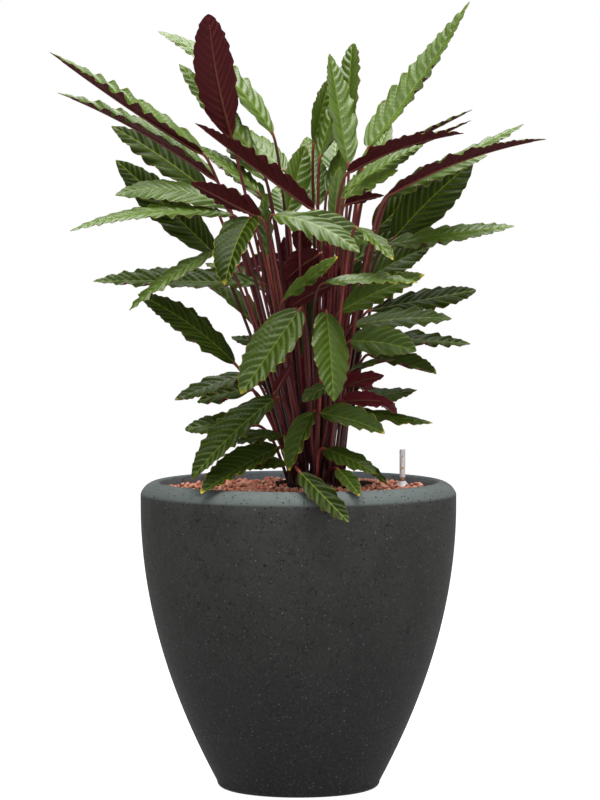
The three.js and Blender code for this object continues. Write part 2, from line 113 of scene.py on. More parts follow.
# Each printed mark: its height, its corners, its half width and its half height
MARKS = [(459, 3, 2.7, 1.9), (443, 16, 2.0, 1.9)]
MARK_THICKNESS = 0.1

# Stalks and their sheaths
CROWN = np.array([42.0, 0.0])
SHEATH_TOP = SOIL_LEVEL + 8
SHEATH_PROFILE = np.array([[-32, 5.4], [-8, 5.6], [0, 5.2], [12, 3.9], [26, 2.2]])
STALK_ROOT = SHEATH_TOP - 3
STALK_SPREAD = 3
STALK_THICK = 2.4
STALK_THIN = 1.9
STALK_RISE = 20
STALK_STEPS = 26
JOINT_LENGTH = 9
JOINT_SWELLING = 0.22

# Form of a blade: how lance-shaped it is, how far it folds and twists, and where its faces' edges
# run, from the midrib to the margin
LANCE = (0.58, 0.75)
FOLD = (2, 12)
TWIST = 14
ROW_PITCH = 1.9
COLUMNS = np.array([0, 0.05, 0.11, 0.22, 0.35, 0.48, 0.61, 0.73, 0.84, 0.93, 1.0])
HALF_THICKNESS = 0.4

# Pleats between the side veins, and the longer waves of the margin
VEIN_PITCH = (11, 14)
VEIN_SLANT = (0.85, 0.5)
PLEAT = 1.9
PLEATED_WIDTH = 14
WAVE_LENGTH = (21, 31)
WAVE_SHARE = 0.075
WAVE_MOST = 3.6

# A leaf's green is painted dark, as painted shade, below the first height and pale, as painted light, above
# the second, and painted darker the further back it is, up to this depth
SHADE_TO_LIGHT_HEIGHTS = (470, 950)
PAINTED_SHADE_DEPTH = 90

# Where the front view of the leaf table is seen from
EYE = np.array([2.2, -5200.0, 828.0])
CAMERA_PITCH = 3.16
FOCAL_PIXELS = 3740
PICTURE = (600, 800)

# Each shoot: where it stands, measured from the crown, then its leaves. A leaf's numbers are its
# foot (across, up, depth), its tip (across, up, depth), its width, the turn of its upper face
# towards the front in degrees, and how far over its middle the midrib's curve aims. Some leaves
# add how far each half folds up, in degrees, and how much their widest place leans to the tip.
SHOOTS = {
    "right_tall": ((10, -7), [
        (84, 546, -10, 165, 555, -20, 46, 24, -3, -6),
        (100, 604, -10, 192, 577, -30, 44, 28, 0, 28, 0.12),
        (124, 757, -20, 300, 783, -30, 48, 28, 4, 0),
        (123, 822, -25, 262, 881, -30, 44, 34, 14, 0),
        (133, 833, 0, 312, 924, 20, 46, 18, 0, -6),
    ]),
    "right_front": ((6, -18), [
        (78, 529, -20, 187, 509, -40, 40, 14, -3, -6),
        (77, 644, -30, 213, 654, -50, 48, 30, 10),
        (124, 826, -55, 343, 903, -100, 46, -2, 22, 22),
    ]),
    "right_foot": ((18, -24), [
        (77, 463, -45, 124, 422, -75, 24, 0, 6, -2),
    ]),
    "right_behind": ((0, 21), [
        (86, 631, 56, 239, 619, 70, 44, 22, 0, 6, 0.1),
        (106, 775, 85, 184, 840, 130, 50, 50, 6),
        (78, 735, 80, 150, 775, 115, 46, 40, 6),
        (65, 868, 65, 75, 1035, 160, 48, -42, 8, 10, 0.2),
        (110, 880, 60, 241, 944, 70, 34, -6, 0, 6),
    ]),
    "right_wide": ((9, 9), [
        (100, 666, 10, 247, 694, 20, 50, 32, 0, -2, 0.1),
        (133, 766, 45, 242, 872, 80, 64, 54, 8, 0),
    ]),
    "top_right": ((0, -1), [
        (84, 700, 12, 183, 755, 28, 52, 45, 8),
        (69, 869, 0, 43, 1021, 55, 46, -10, 0, 16),
        (97, 891, 10, 237, 1093, 60, 58, 20, -10, 22, -0.2),
        (90, 860, 0, 239, 929, -20, 36, -2, 0, 4),
    ]),
    "front_foot": ((-19, -60), [
        (21, 524, -90, -12, 442, -140, 46, -8, 6, 24),
        (36, 473, -85, 108, 437, -145, 44, 16, 6, -2),
        (30, 522, -80, 120, 494, -120, 46, 34, 8, 20),
    ]),
    "front_low": ((-18, -43), [
        (1, 667, -110, -80, 549, -180, 66, 24, 0, 14),
        (39, 663, -115, 49, 539, -190, 56, -24, 12, 2),
        (43, 560, -80, 6, 538, -110, 30, 20, 4),
        (35, 704, -110, 166, 704, -150, 38, 20, 10, 2),
    ]),
    "front_right": ((-3, -37), [
        (63, 540, -70, 132, 537, -110, 36, -40, 6),
        (63, 560, -50, 119, 575, -70, 36, -35, 4),
        (73, 623, -80, 164, 609, -120, 52, 50, 8),
        (72, 580, -50, 136, 597, -50, 30, 10, 6),
        (81, 781, -100, 131, 736, -150, 34, 0, 8),
    ]),
    "heart_left": ((-21, -18), [
        (20, 806, -40, -143, 925, -110, 48, -12, -1, 28),
        (10, 800, -62, 97, 757, -80, 32, 60, 8),
        (30, 745, -38, -20, 705, -35, 50, -50, 6),
    ]),
    "heart_right": ((-7, -11), [
        (62, 829, -22, 173, 895, -66, 48, 40, 8, -6),
        (65, 813, -30, 119, 825, -40, 34, -20, 4, 8),
    ]),
    "heart_front": ((-9, -25), [
        (58, 664, -60, 175, 715, -80, 50, 45, 8),
        (69, 857, -60, 229, 911, -110, 46, -8, 18, 24),
        (62, 821, -50, 138, 860, -90, 36, 36, 6, -2),
        (50, 787, -30, 58, 865, -20, 24, 50, 4),
        (50, 705, -60, -15, 668, -75, 44, -40, 6),
    ]),
    "top_behind": ((-9, 12), [
        (21, 897, 60, 41, 985, 110, 44, 74, 0, 8),
        (30, 879, 35, 58, 975, 85, 42, -20, 0, -4),
        (40, 830, 25, 72, 905, 45, 44, 6, 0, -4),
        (40, 668, 20, 65, 733, 3, 26, 0, 2),
    ]),
    "left_behind": ((-32, 4), [
        (-54, 874, 20, -165, 1007, 50, 46, 32, 3, -2),
        (-36, 911, 40, -194, 1052, 90, 50, 22, 36, 6),
        (-56, 830, 10, -139, 894, 30, 40, 18, 8, 2),
        (-46, 847, 20, -100, 890, 60, 40, 8, 6, 4),
        (-16, 802, -10, 9, 894, 60, 46, 58, 0, 10),
        (-15, 797, 20, -30, 838, 90, 34, 20, 4),
        (8, 735, -5, 0, 790, -30, 34, 24, 2, 0),
    ]),
    "left_foot": ((-54, 2), [
        (-67, 555, 10, -141, 538, 30, 44, 30, 6, 2),
        (-60, 506, 0, -158, 500, 20, 44, 36, 8, 4, 0.14),
    ]),
    "left_wide_behind": ((-44, 10), [
        (-129, 833, 10, -259, 921, 50, 50, 42, 7, 6),
        (-118, 745, 30, -253, 874, 80, 58, 48, 3, 4),
        (-60, 645, 30, -130, 701, 60, 46, 20, 8, 30),
        (-50, 615, 40, -93, 629, 70, 34, 16, 4, 2),
    ]),
    "left_front": ((-31, -29), [
        (-54, 795, -90, -149, 843, -130, 50, -22, 0, 16),
        (-66, 795, -110, -102, 701, -210, 62, -10, 23, 18),
        (-35, 798, -100, 85, 746, -170, 46, 30, 22, -6),
        (-21, 680, -80, 55, 740, -110, 40, 38, 0, 6),
    ]),
    "left_tall": ((-40, -8), [
        (-93, 905, -30, -125, 1076, -100, 62, -52, -20, 6, 0.16),
        (-133, 883, -40, -344, 1023, -90, 54, 20, -6, 30, -0.1),
        (-115, 847, -30, -333, 967, -50, 46, 18, 17, 32, -0.12),
        (-52, 703, -30, -285, 706, -60, 52, 32, 3, 16),
    ]),
    "left_wide": ((-40, -21), [
        (-100, 808, -60, -254, 826, -90, 48, 36, 33, -6),
        (-91, 798, -70, -317, 776, -140, 44, 20, 30, 0),
        (-115, 748, -90, -235, 666, -165, 44, 6, 13, 0),
        (-43, 741, -60, -49, 822, -30, 34, 60, 4),
    ]),
    "left_low": ((-50, -15), [
        (-74, 577, -40, -172, 541, -70, 42, 22, 3, 2),
    ]),
    "left_front_foot": ((-44, -46), [
        (-29, 474, -90, -136, 410, -185, 54, 24, 6, 26),
        (-15, 452, -70, -77, 445, -115, 34, 24, 6, 8),
    ]),
    "left_front_low": ((-42, -34), [
        (-89, 592, -90, -223, 688, -108, 56, 42, 15, 2),
        (-33, 552, -100, -8, 592, -120, 24, 0, 2),
        (-32, 543, -80, -148, 431, -170, 58, 20, 12, 22),
        (-21, 490, -60, -85, 480, -110, 38, 20, 8, 8),
    ]),
    "rim_left": ((-31, -58), [
        (2, 440, -185, 70, 370, -262, 38, 18, 0, 4),
    ]),
    "rim_right": ((-7, -60), [
        (55, 444, -130, 85, 407, -212, 26, 10, 4),
    ]),
}

# Shoots round the back, which stand on an arc, in degrees from +X round to -X, and lean outwards
BACK_SHOOTS = 5
BACK_BEARINGS = (68, 136)
BACK_STAND = 46
BACK_FEET = (560, 690, 810)
BACK_LEAF_REACH = 150

# Leaves of each back shoot that stand inside the clump, with numbers as in the table of shoots
INNER_LEAVES = [
    [
        (62, 505, 62, 84, 665, 78, 50, 10, 4, 8),
        (58, 640, 100, 78, 790, 130, 48, 10, 4, 8),
    ],
    [
        (46, 612, 44, 42, 770, 46, 38, 186, 2, 6),
    ],
    [
        (20, 450, 27, 18, 625, 31, 54, 182, 2, 6),
        (14, 596, 28, 6, 772, 20, 58, 188, 2, 6),
    ],
    [
        (0, 600, 44, -20, 768, 60, 54, 178, 2, 6),
    ],
    [
        (-22, 470, 64, -44, 640, 78, 50, 6, 4, 8),
        (-34, 520, 84, -70, 690, 104, 50, -8, 4, 8),
        (-30, 640, 66, -58, 795, 84, 48, -6, 4, 8),
    ],
]

# How far the tip of some leaves has turned yellow, by shoot and place in it
YELLOW_TIPS = {
    ("left_front", 1): 0.5, ("left_front", 3): 0.8, ("front_right", 4): 0.9, ("heart_front", 0): 0.8,
    ("front_low", 3): 0.9, ("front_low", 0): 0.4, ("right_tall", 0): 0.6, ("right_tall", 1): 0.6,
    ("right_front", 0): 0.8, ("front_foot", 0): 0.8, ("front_foot", 2): 0.8, ("left_low", 0): 0.5,
    ("left_front_foot", 0): 0.9, ("front_right", 0): 0.9, ("rim_right", 0): 0.6,
}

# Leaves painted darker all over than the ones round them, as painted shade
PAINTED_SHADE_LEAVES = (
    ("left_wide_behind", 0), ("left_wide_behind", 1), ("left_front_low", 0), ("right_wide", 1),
    ("right_behind", 1), ("rim_left", 0), ("left_front", 1), ("right_wide", 0), ("left_front_foot", 0),
)

# Studio
FLOOR_REACH = 6.0
LIT_PLACE = Vector((0, 0, 0.6))


# Draws and vectors
def draw(number):
    """A draw between 0 and 1 that is the same for the same number."""
    large = math.sin(number * 12.9898) * 43758.5453
    return large - math.floor(large)


def between(low, high, number):
    return low + (high - low) * draw(number)


def unit(vectors):
    return vectors / np.linalg.norm(vectors, axis=-1, keepdims=True)


def squared(direction, axis):
    """A direction's part across another one, at length 1."""
    part = (direction * axis).sum(-1, keepdims=True)
    return unit(direction - axis * part)


def seen(across, up, depth):
    """A place of the front view, moved along its line of sight to its depth."""
    reach = (depth - EYE[1]) / -EYE[1]
    return (np.array([across, 0.0, up]) - EYE) * reach + EYE


# Meshes
def blank(*labels):
    """An empty mesh to model in, with a number on each point for every label."""
    shape = bmesh.new()
    for label in labels:
        shape.verts.layers.float.new(label)
    return shape


def turned(shape, profile, sides, centre=(0, 0)):
    """Spins [radius, height] points about an upright axis into a closed body."""
    x, y = centre
    verts = [shape.verts.new(((x + radius) * MM, y * MM, height * MM)) for radius, height in profile]
    edges = []
    for (radius, _), (next_radius, _), pair in zip(profile, profile[1:], zip(verts, verts[1:])):
        if radius or next_radius:
            edges.append(shape.edges.new(pair))
    bmesh.ops.spin(shape, geom=verts + edges, cent=(x * MM, y * MM, 0), axis=(0, 0, 1),
                   angle=2 * math.pi, steps=sides, use_merge=True)
    bmesh.ops.remove_doubles(shape, verts=shape.verts, dist=WELD)


def sheet(shape, points, **values):
    """Lays a grid of faces through rows of points, gives the points their values, and returns them."""
    rows, columns = points.shape[:2]
    verts = bmesh.ops.create_grid(shape, x_segments=columns - 1, y_segments=rows - 1, size=1)["verts"]
    for vert, place in zip(verts, (points.reshape(-1, 3) * MM).tolist()):
        vert.co = place
    for label, data in values.items():
        layer = shape.verts.layers.float[label]
        for vert, value in zip(verts, np.broadcast_to(data, (rows, columns)).ravel().tolist()):
            vert[layer] = value
    return verts


def rolled(shape, rings, **values):
    """Lays a sheet through rings of points and joins its two long sides."""
    points = np.concatenate([rings, rings[:, :1]], 1)
    bmesh.ops.remove_doubles(shape, verts=sheet(shape, points, **values), dist=WELD)


def drawn_out(shape, verts, move):
    """Extrudes a sheet into a closed body, moves the points of its new side and returns its faces."""
    faces = list(dict.fromkeys(face for vert in verts for face in vert.link_faces))
    new = bmesh.ops.extrude_face_region(shape, geom=faces)["geom"]
    for part in new:
        if isinstance(part, bmesh.types.BMVert):
            part.co = move(part.co)
    return [part for part in new if isinstance(part, bmesh.types.BMFace)]


def around(sides):
    """Points round a circle of radius 1."""
    angles = np.linspace(0, 2 * math.pi, sides, endpoint=False)
    return np.stack([np.cos(angles), np.sin(angles)], 1)


def level_ring(flat, height):
    return np.column_stack([flat, np.broadcast_to(height, len(flat))])


def hand_over(name, mesh, materials, nodes=()):
    """Makes a mesh a piece of the object, which rides on its one body and stands for its nodes."""
    for material in materials:
        mesh.materials.append(material)
    piece = bpy.data.objects.new(name, mesh)
    bpy.context.scene.collection.objects.link(piece)
    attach(piece, "root")
    if nodes:
        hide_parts(*nodes)


def finish(shape, name, materials, slot, *nodes, smooth=True):
    """Turns a modelled shape's faces outwards and hands it over."""
    bmesh.ops.recalc_face_normals(shape, faces=shape.faces)
    for face in shape.faces:
        face.smooth = smooth
    mesh = bpy.data.meshes.new(name)
    shape.to_mesh(mesh)
    shape.free()
    hand_over(name, mesh, materials, nodes)


# Materials
COLOURS = {"data_type": "RGBA"}
SMOOTH = {"interpolation_type": "SMOOTHSTEP"}


def colour(code):
    """Linear RGBA of an sRGB colour written as six hex digits."""
    parts = [int(code[i:i + 2], 16) / 255 for i in (0, 2, 4)]
    return [c / 12.92 if c <= 0.04045 else ((c + 0.055) / 1.055) ** 2.4 for c in parts] + [1.0]


def feed(tree, node, inputs):
    """Gives a node's inputs their values, or links them to other nodes."""
    for key, value in inputs.items():
        if isinstance(value, bpy.types.NodeSocket):
            tree.links.new(value, node.inputs[key])
        else:
            node.inputs[key].default_value = value


def add(tree, kind, inputs=None, output=0, **settings):
    """Adds a node with its settings, values and links, and returns one of its outputs."""
    node = tree.nodes.new("ShaderNode" + kind)
    for key, value in settings.items():
        setattr(node, key, value)
    feed(tree, node, inputs or {})
    return node.outputs[output]


def new_finish(name):
    """A new material and its node tree."""
    material = bpy.data.materials.new(name)
    material.use_nodes = True
    return material, material.node_tree


def surface(tree, **inputs):
    """Sets what the material's surface is made of: an input's name is written with underscores."""
    feed(tree, tree.nodes["Principled BSDF"], {key.replace("_", " "): data for key, data in inputs.items()})


def coats(tree, base, *layers):
    """Lays colours over a base, each where its pattern is high, and at most at its strength."""
    for pattern, strength, code in layers:
        share = add(tree, "Math", {0: pattern, 1: strength}, operation="MULTIPLY")
        base = add(tree, "Mix", {0: share, 6: base, 7: colour(code)}, 2, **COLOURS)
    return base



def side_veins(tree, each, sharpness):
    """High along a leaf's side veins, which leave the midrib and bend to the tip. There are this many
    for each pleat of the blade."""
    vein = add(tree, "Attribute", output="Fac", attribute_name="vein")
    turn = add(tree, "Math", {0: vein, 1: 2 * math.pi * each}, operation="MULTIPLY")
    wave = add(tree, "Math", {0: turn}, operation="SINE")
    raised = add(tree, "Math", {0: wave, 1: 0.5, 2: 0.5}, operation="MULTIPLY_ADD")
    return add(tree, "Math", {0: raised, 1: sharpness}, operation="POWER")


def round_pits(tree, place, spacing, radius):
    """High in round spots about this far apart, each of its own size up to the radius."""
    share = radius / spacing
    distance = add(tree, "TexVoronoi", {"Vector": place, "Scale": 1 / (spacing * MM)}, "Distance")
    odds = add(tree, "SeparateXYZ", {0: distance.node.outputs["Color"]})
    own = add(tree, "Math", {0: odds, 1: 1.6}, operation="POWER")
    size = add(tree, "Math", {0: own, 1: share}, operation="MULTIPLY")
    inside = add(tree, "Math", {0: size, 1: distance}, operation="SUBTRACT")
    return add(tree, "MapRange", {0: inside, 1: 0.0, 2: 0.3 * share}, **SMOOTH)


def leaf_above():
    """Living leaf under a coat of wax, which gives the leaves high in the plant their sheen. It is dark
    green between paler side veins, with a yellow-green midrib. Its green is painted darker, as painted
    shade, on leaves low in the plant or at the back, and paler, as painted light, on high ones, with a
    random tone of each leaf's own; the low ones are also duller."""
    material, tree = new_finish("leaf_above")
    tone, edge, reach, share, tip = [
        add(tree, "Attribute", output="Fac", attribute_name=label)
        for label in ("tone", "edge", "reach", "share", "tip")
    ]
    place = add(tree, "TexCoord", output="Object")
    patches = add(tree, "TexNoise", {0: place, "Scale": 1 / (30 * MM), "Detail": 2.0})
    near_rib = add(tree, "MapRange", {0: reach, 1: 1.0 * MM, 2: 0.3 * MM}, **SMOOTH)
    dry_margin = add(tree, "MapRange", {0: edge, 1: 0.95, 2: 1.0}, **SMOOTH)
    at_tip = add(tree, "MapRange", {0: share, 1: 0.94, 2: 0.995}, **SMOOTH)
    at_edge = add(tree, "MapRange", {0: edge, 1: 0.93, 2: 1.0}, **SMOOTH)
    past_middle = add(tree, "MapRange", {0: share, 1: 0.4, 2: 0.9}, **SMOOTH)
    outer_edge = add(tree, "Math", {0: at_edge, 1: past_middle}, operation="MULTIPLY")
    where = add(tree, "Math", {0: at_tip, 1: outer_edge}, operation="MAXIMUM")
    yellowed = add(tree, "Math", {0: tip, 1: where}, operation="MULTIPLY")
    # Painted light and shade: the tone mixes dark green for leaves low or behind with pale green for leaves
    # high in the plant, on top of each leaf's random tone
    green = add(tree, "Mix", {0: tone, 6: colour("222e08"), 7: colour("5e7826")}, 2, **COLOURS)
    green = coats(
        tree, green,
        (patches, 0.5, "2a3408"),
        (side_veins(tree, 1.0, 3.0), 0.25, "66802a"),
        (near_rib, 0.45, "84962a"),
        (dry_margin, 0.45, "8a7c30"),
        (yellowed, 1.0, "c9b53a"),
    )
    wax = add(tree, "TexNoise", {0: place, "Scale": 1 / (7 * MM), "Detail": 2.0})
    up_high = add(tree, "Math", {0: tone, 1: 1.5}, operation="POWER")
    surface(
        tree,
        Base_Color=green,
        Roughness=add(tree, "Math", {0: wax, 1: 0.16, 2: 0.3}, operation="MULTIPLY_ADD"),
        IOR=1.45,
        Specular_IOR_Level=add(tree, "Math", {0: up_high, 1: 0.6, 2: 0.08}, operation="MULTIPLY_ADD"),
        Normal=add(tree, "Bump", {"Height": wax, "Distance": 0.1 * MM, "Strength": 1.0}),
    )
    return material


def leaf_beneath():
    """The leaf's underside, covered in fine down, which makes its maroon matt and velvety. Its maroon
    is painted darker, as painted shade, on leaves high in the plant, and paler, as painted light, on low
    ones, with a random tone of each leaf's own; the side veins are paler. The down is drawn coarser than it
    is."""
    material, tree = new_finish("leaf_beneath")
    tone = add(tree, "Attribute", output="Fac", attribute_name="tone")
    place = add(tree, "TexCoord", output="Object")
    # Painted light and shade: low leaves' undersides get a paler maroon, as if lit, high leaves' a darker
    # one, as if in shade
    up_high = add(tree, "MapRange", {0: tone, 1: 0.1, 2: 0.6}, **SMOOTH)
    patches = add(tree, "TexNoise", {0: place, "Scale": 1 / (20 * MM), "Detail": 3.0})
    red = add(tree, "Mix", {0: up_high, 6: colour("8a2838"), 7: colour("501016")}, 2, **COLOURS)
    red = coats(tree, red, (side_veins(tree, 1.0, 4.0), 0.2, "8c3a34"), (patches, 0.3, "380a0e"))
    fine = side_veins(tree, 6.0, 1.0)
    surface(
        tree,
        Base_Color=red,
        Roughness=0.7,
        Specular_IOR_Level=0.18,
        Normal=add(tree, "Bump", {"Height": fine, "Distance": 0.12 * MM, "Strength": 1.0}),
    )
    return material


def stalk_skin():
    """Smooth, faintly streaked skin of the maroon stalks: near black at the foot, which is partly the dark
    brown of old stalk bases and partly painted shade under the leaves, and paler and browner at the swollen
    joint under the blade and along the midrib."""
    material, tree = new_finish("stalk_skin")
    share = add(tree, "Attribute", output="Fac", attribute_name="share")
    tone = add(tree, "Attribute", output="Fac", attribute_name="tone")
    place = add(tree, "TexCoord", output="Object")
    streaks = add(tree, "TexNoise", {0: place, "Scale": 1 / (12 * MM), "Detail": 3.0})
    bright = add(tree, "MapRange", {0: tone, 1: 0.7, 2: 0.95}, **SMOOTH)
    dull = add(tree, "MapRange", {0: tone, 1: 0.5, 2: 0.0}, **SMOOTH)
    # Painted shade, partly the dark brown of old bases: stalks and sheaths are painted near black towards
    # the foot
    foot = add(tree, "MapRange", {0: share, 1: 0.4, 2: 0.05}, **SMOOTH)
    into_joint = add(tree, "MapRange", {0: share, 1: 0.9, 2: 0.96}, **SMOOTH)
    out_of_joint = add(tree, "MapRange", {0: share, 1: 1.1, 2: 1.0}, **SMOOTH)
    joint = add(tree, "Math", {0: into_joint, 1: out_of_joint}, operation="MULTIPLY")
    along_rib = add(tree, "MapRange", {0: share, 1: 1.02, 2: 1.2}, **SMOOTH)
    red = add(tree, "Mix", {0: streaks, 6: colour("4a0f14"), 7: colour("7c2a2a")}, 2, **COLOURS)
    red = coats(
        tree, red,
        (bright, 1.0, "a44a44"),
        (dull, 0.7, "260a0a"),
        (foot, 0.8, "180706"),
        (joint, 0.5, "8a5236"),
        (along_rib, 0.7, "6a3c2a"),
    )
    surface(
        tree,
        Base_Color=red,
        Roughness=0.45,
        Specular_IOR_Level=0.3,
        Normal=add(tree, "Bump", {"Height": streaks, "Distance": 0.3 * MM, "Strength": 1.0}),
    )
    return material


def fibre_clay():
    """Fibre-reinforced clay, cast in a mould and left matt: a sandy grain with open pits, painted near
    black as painted shade, and pale specks; a shoulder painted paler, in blotches, as painted light, an
    inside painted pale blue-grey as painted light, and a side painted darker towards the foot, as painted
    shade."""
    material, tree = new_finish("fibre_clay")
    place = add(tree, "TexCoord", output="Object")
    across = add(tree, "SeparateXYZ", {0: place}, "X")
    back, height = across.node.outputs["Y"], across.node.outputs["Z"]
    clouds, blotches, grain = [
        add(tree, "TexNoise", {0: place, "Scale": 1 / (size * MM), "Detail": detail, "Roughness": rough})
        for size, detail, rough in ((60, 6.0, 0.65), (16, 5.0, 0.7), (3.8, 3.0, 0.7))
    ]
    # Painted shade: the side is painted darker towards the foot
    lit_upper_side = add(tree, "MapRange", {0: height, 1: 20 * MM, 2: 400 * MM}, **SMOOTH)
    dark_clouds = add(tree, "MapRange", {0: clouds, 1: 0.65, 2: 0.35}, **SMOOTH)
    dark_blotches = add(tree, "MapRange", {0: blotches, 1: 0.5, 2: 0.7}, **SMOOTH)
    sand = add(tree, "MapRange", {0: grain, 1: 0.5, 2: 0.75}, **SMOOTH)
    # Painted light: the shoulder is painted a paler blotched grey where the lamp above falls on it
    rim = add(tree, "MapRange", {0: height, 1: 408.5 * MM, 2: 412.5 * MM}, **SMOOTH)
    lit_shoulder_grey = add(tree, "Mix", {0: blotches, 6: colour("5e6665"), 7: colour("78827f")}, 2, **COLOURS)
    lit_shoulder = add(tree, "Math", {0: rim, 1: 0.8}, operation="MULTIPLY")
    square_x = add(tree, "Math", {0: across, 1: 2.0}, operation="POWER")
    square_y = add(tree, "Math", {0: back, 1: 2.0}, operation="POWER")
    square = add(tree, "Math", {0: square_x, 1: square_y}, operation="ADD")
    mouth, past_mouth = (MOUTH_RADIUS * MM) ** 2, ((MOUTH_RADIUS + 1.2) * MM) ** 2
    # Painted light: inside the mouth the wall is painted a pale blue-grey, as if lit
    in_mouth = add(tree, "MapRange", {0: square, 1: past_mouth, 2: mouth}, **SMOOTH)
    inside = add(tree, "Math", {0: rim, 1: in_mouth}, operation="MULTIPLY")
    # Painted shade: the pits are painted near black
    large_pits = round_pits(tree, place, 15, 2.8)
    pits = add(tree, "Math", {0: round_pits(tree, place, 4, 1.6), 1: large_pits}, operation="MAXIMUM")
    grey = add(tree, "Mix", {0: lit_upper_side, 6: colour("262626"), 7: colour("424240")}, 2, **COLOURS)
    grey = coats(
        tree, grey,
        (dark_clouds, 0.3, "161616"),
        (dark_blotches, 0.4, "141414"),
        (sand, 0.5, "5c5e5b"),
    )
    grey = add(tree, "Mix", {0: lit_shoulder, 6: grey, 7: lit_shoulder_grey}, 2, **COLOURS)
    grey = coats(
        tree, grey,
        (inside, 1.0, "8aa2ac"),
        (pits, 0.9, "0e0e0e"),
        (round_pits(tree, place, 5.2, 1.1), 0.5, "a4a8a6"),
    )
    sandy = add(tree, "Math", {0: grain, 1: 0.25}, operation="MULTIPLY")
    relief = add(tree, "Math", {0: pits, 1: -1.0, 2: sandy}, operation="MULTIPLY_ADD")
    surface(
        tree,
        Base_Color=grey,
        Roughness=0.82,
        Specular_IOR_Level=0.25,
        Normal=add(tree, "Bump", {"Height": relief, "Distance": 0.6 * MM, "Strength": 1.0}),
    )
    return material


def fired_clay():
    """Expanded clay, fired in a kiln: porous and orange-brown, each granule a tone of its own. The
    underside of a granule is painted dark, as painted shade, and the bed below is painted near black, as
    the painted shade in the gaps between granules."""
    material, tree = new_finish("fired_clay")
    tone = add(tree, "Attribute", output="Fac", attribute_name="tone")
    deep = add(tree, "Attribute", output="Fac", attribute_name="deep")
    place = add(tree, "TexCoord", output="Object")
    grain = add(tree, "TexNoise", {0: place, "Scale": 1 / (1.2 * MM), "Detail": 3.0})
    pores = add(tree, "MapRange", {0: grain, 1: 0.5, 2: 0.8}, **SMOOTH)
    clay = add(tree, "Mix", {0: tone, 6: colour("da7a5c"), 7: colour("ffc4a8")}, 2, **COLOURS)
    # Painted shade: undersides of granules and the bed are painted near black
    clay = coats(tree, clay, (pores, 0.5, "6a3528"), (deep, 1.0, "24110f"))
    surface(
        tree,
        Base_Color=clay,
        Roughness=0.85,
        Normal=add(tree, "Bump", {"Height": grain, "Distance": 0.5 * MM, "Strength": 1.0}),
    )
    return material


def dark_soil():
    """Moist potting soil, which crumbles into lumps of a few millimetres and has no sheen."""
    material, tree = new_finish("dark_soil")
    place = add(tree, "TexCoord", output="Object")
    crumbs = add(tree, "TexNoise", {0: place, "Scale": 1 / (3 * MM), "Detail": 5.0, "Roughness": 0.7})
    surface(
        tree,
        Base_Color=add(tree, "Mix", {0: crumbs, 6: colour("0f0a08"), 7: colour("2c211b")}, 2, **COLOURS),
        Roughness=0.95,
        Normal=add(tree, "Bump", {"Height": crumbs, "Distance": 1.5 * MM, "Strength": 1.0}),
    )
    return material


def clear_plastic():
    """Clear moulded plastic, misted inside to a pale grey veil except round the float."""
    material, tree = new_finish("clear_plastic")
    place = add(tree, "TexCoord", output="Object")
    clouds = add(tree, "TexNoise", {0: place, "Scale": 1 / (10 * MM), "Detail": 2.0})
    height = add(tree, "SeparateXYZ", {0: place}, "Z")
    above = add(tree, "MapRange", {0: height, 1: 430 * MM, 2: 430.4 * MM}, **SMOOTH)
    below = add(tree, "MapRange", {0: height, 1: 425.2 * MM, 2: 424.8 * MM}, **SMOOTH)
    misted = add(tree, "Math", {0: above, 1: below}, operation="MAXIMUM")
    surface(
        tree,
        Base_Color=add(tree, "Mix", {0: clouds, 6: colour("ffffff"), 7: colour("f6f2f4")}, 2, **COLOURS),
        Roughness=0.25,
        Alpha=add(tree, "Math", {0: misted, 1: 0.94, 2: 0.04}, operation="MULTIPLY_ADD"),
    )
    return material


def mark_yellow():
    """Yellow printing ink, a little worn."""
    material, tree = new_finish("mark_yellow")
    place = add(tree, "TexCoord", output="Object")
    worn = add(tree, "TexNoise", {0: place, "Scale": 1 / (1.5 * MM), "Detail": 2.0})
    ink = add(tree, "Mix", {0: worn, 6: colour("e6d068"), 7: colour("d6be50")}, 2, **COLOURS)
    surface(tree, Base_Color=ink, Roughness=0.5)
    return material


def float_paint():
    """Painted plastic of the gauge's float: red ends and an orange middle."""
    material, tree = new_finish("float_paint")
    place = add(tree, "TexCoord", output="Object")
    height = add(tree, "SeparateXYZ", {0: place}, "Z")
    above = add(tree, "MapRange", {0: height, 1: 426.2 * MM, 2: 426.8 * MM}, **SMOOTH)
    below = add(tree, "MapRange", {0: height, 1: 429.1 * MM, 2: 428.5 * MM}, **SMOOTH)
    middle = add(tree, "Math", {0: above, 1: below}, operation="MULTIPLY")
    worn = add(tree, "TexNoise", {0: place, "Scale": 1 / (2 * MM), "Detail": 2.0})
    red = add(tree, "Mix", {0: worn, 6: colour("b3342a"), 7: colour("8f2030")}, 2, **COLOURS)
    surface(tree, Base_Color=coats(tree, red, (middle, 1.0, "d08a1e")), Roughness=0.4)
    return material


def floor_paint():
    """Matt white studio paint, lit up a little so that the floor meets the background unseen."""
    material, tree = new_finish("floor_paint")
    place = add(tree, "TexCoord", output="Object")
    faint = add(tree, "TexNoise", {0: place, "Scale": 1 / (500 * MM), "Detail": 1.0})
    pale = add(tree, "Mix", {0: faint, 6: colour("a4a4a4"), 7: colour("a8a8a8")}, 2, **COLOURS)
    surface(tree, Base_Color=pale, Roughness=0.95, Emission_Color=(1, 1, 1, 1), Emission_Strength=0.95)
    return material


# Planter
def outer_radius(height):
    below = max(0.0, POT_WIDEST_AT - height) / POT_WIDEST_AT
    return POT_RADIUS - (POT_RADIUS - POT_FOOT_RADIUS) * below ** POT_TAPER


def inner_radius(height):
    return min(MOUTH_RADIUS, outer_radius(height) - WALL)


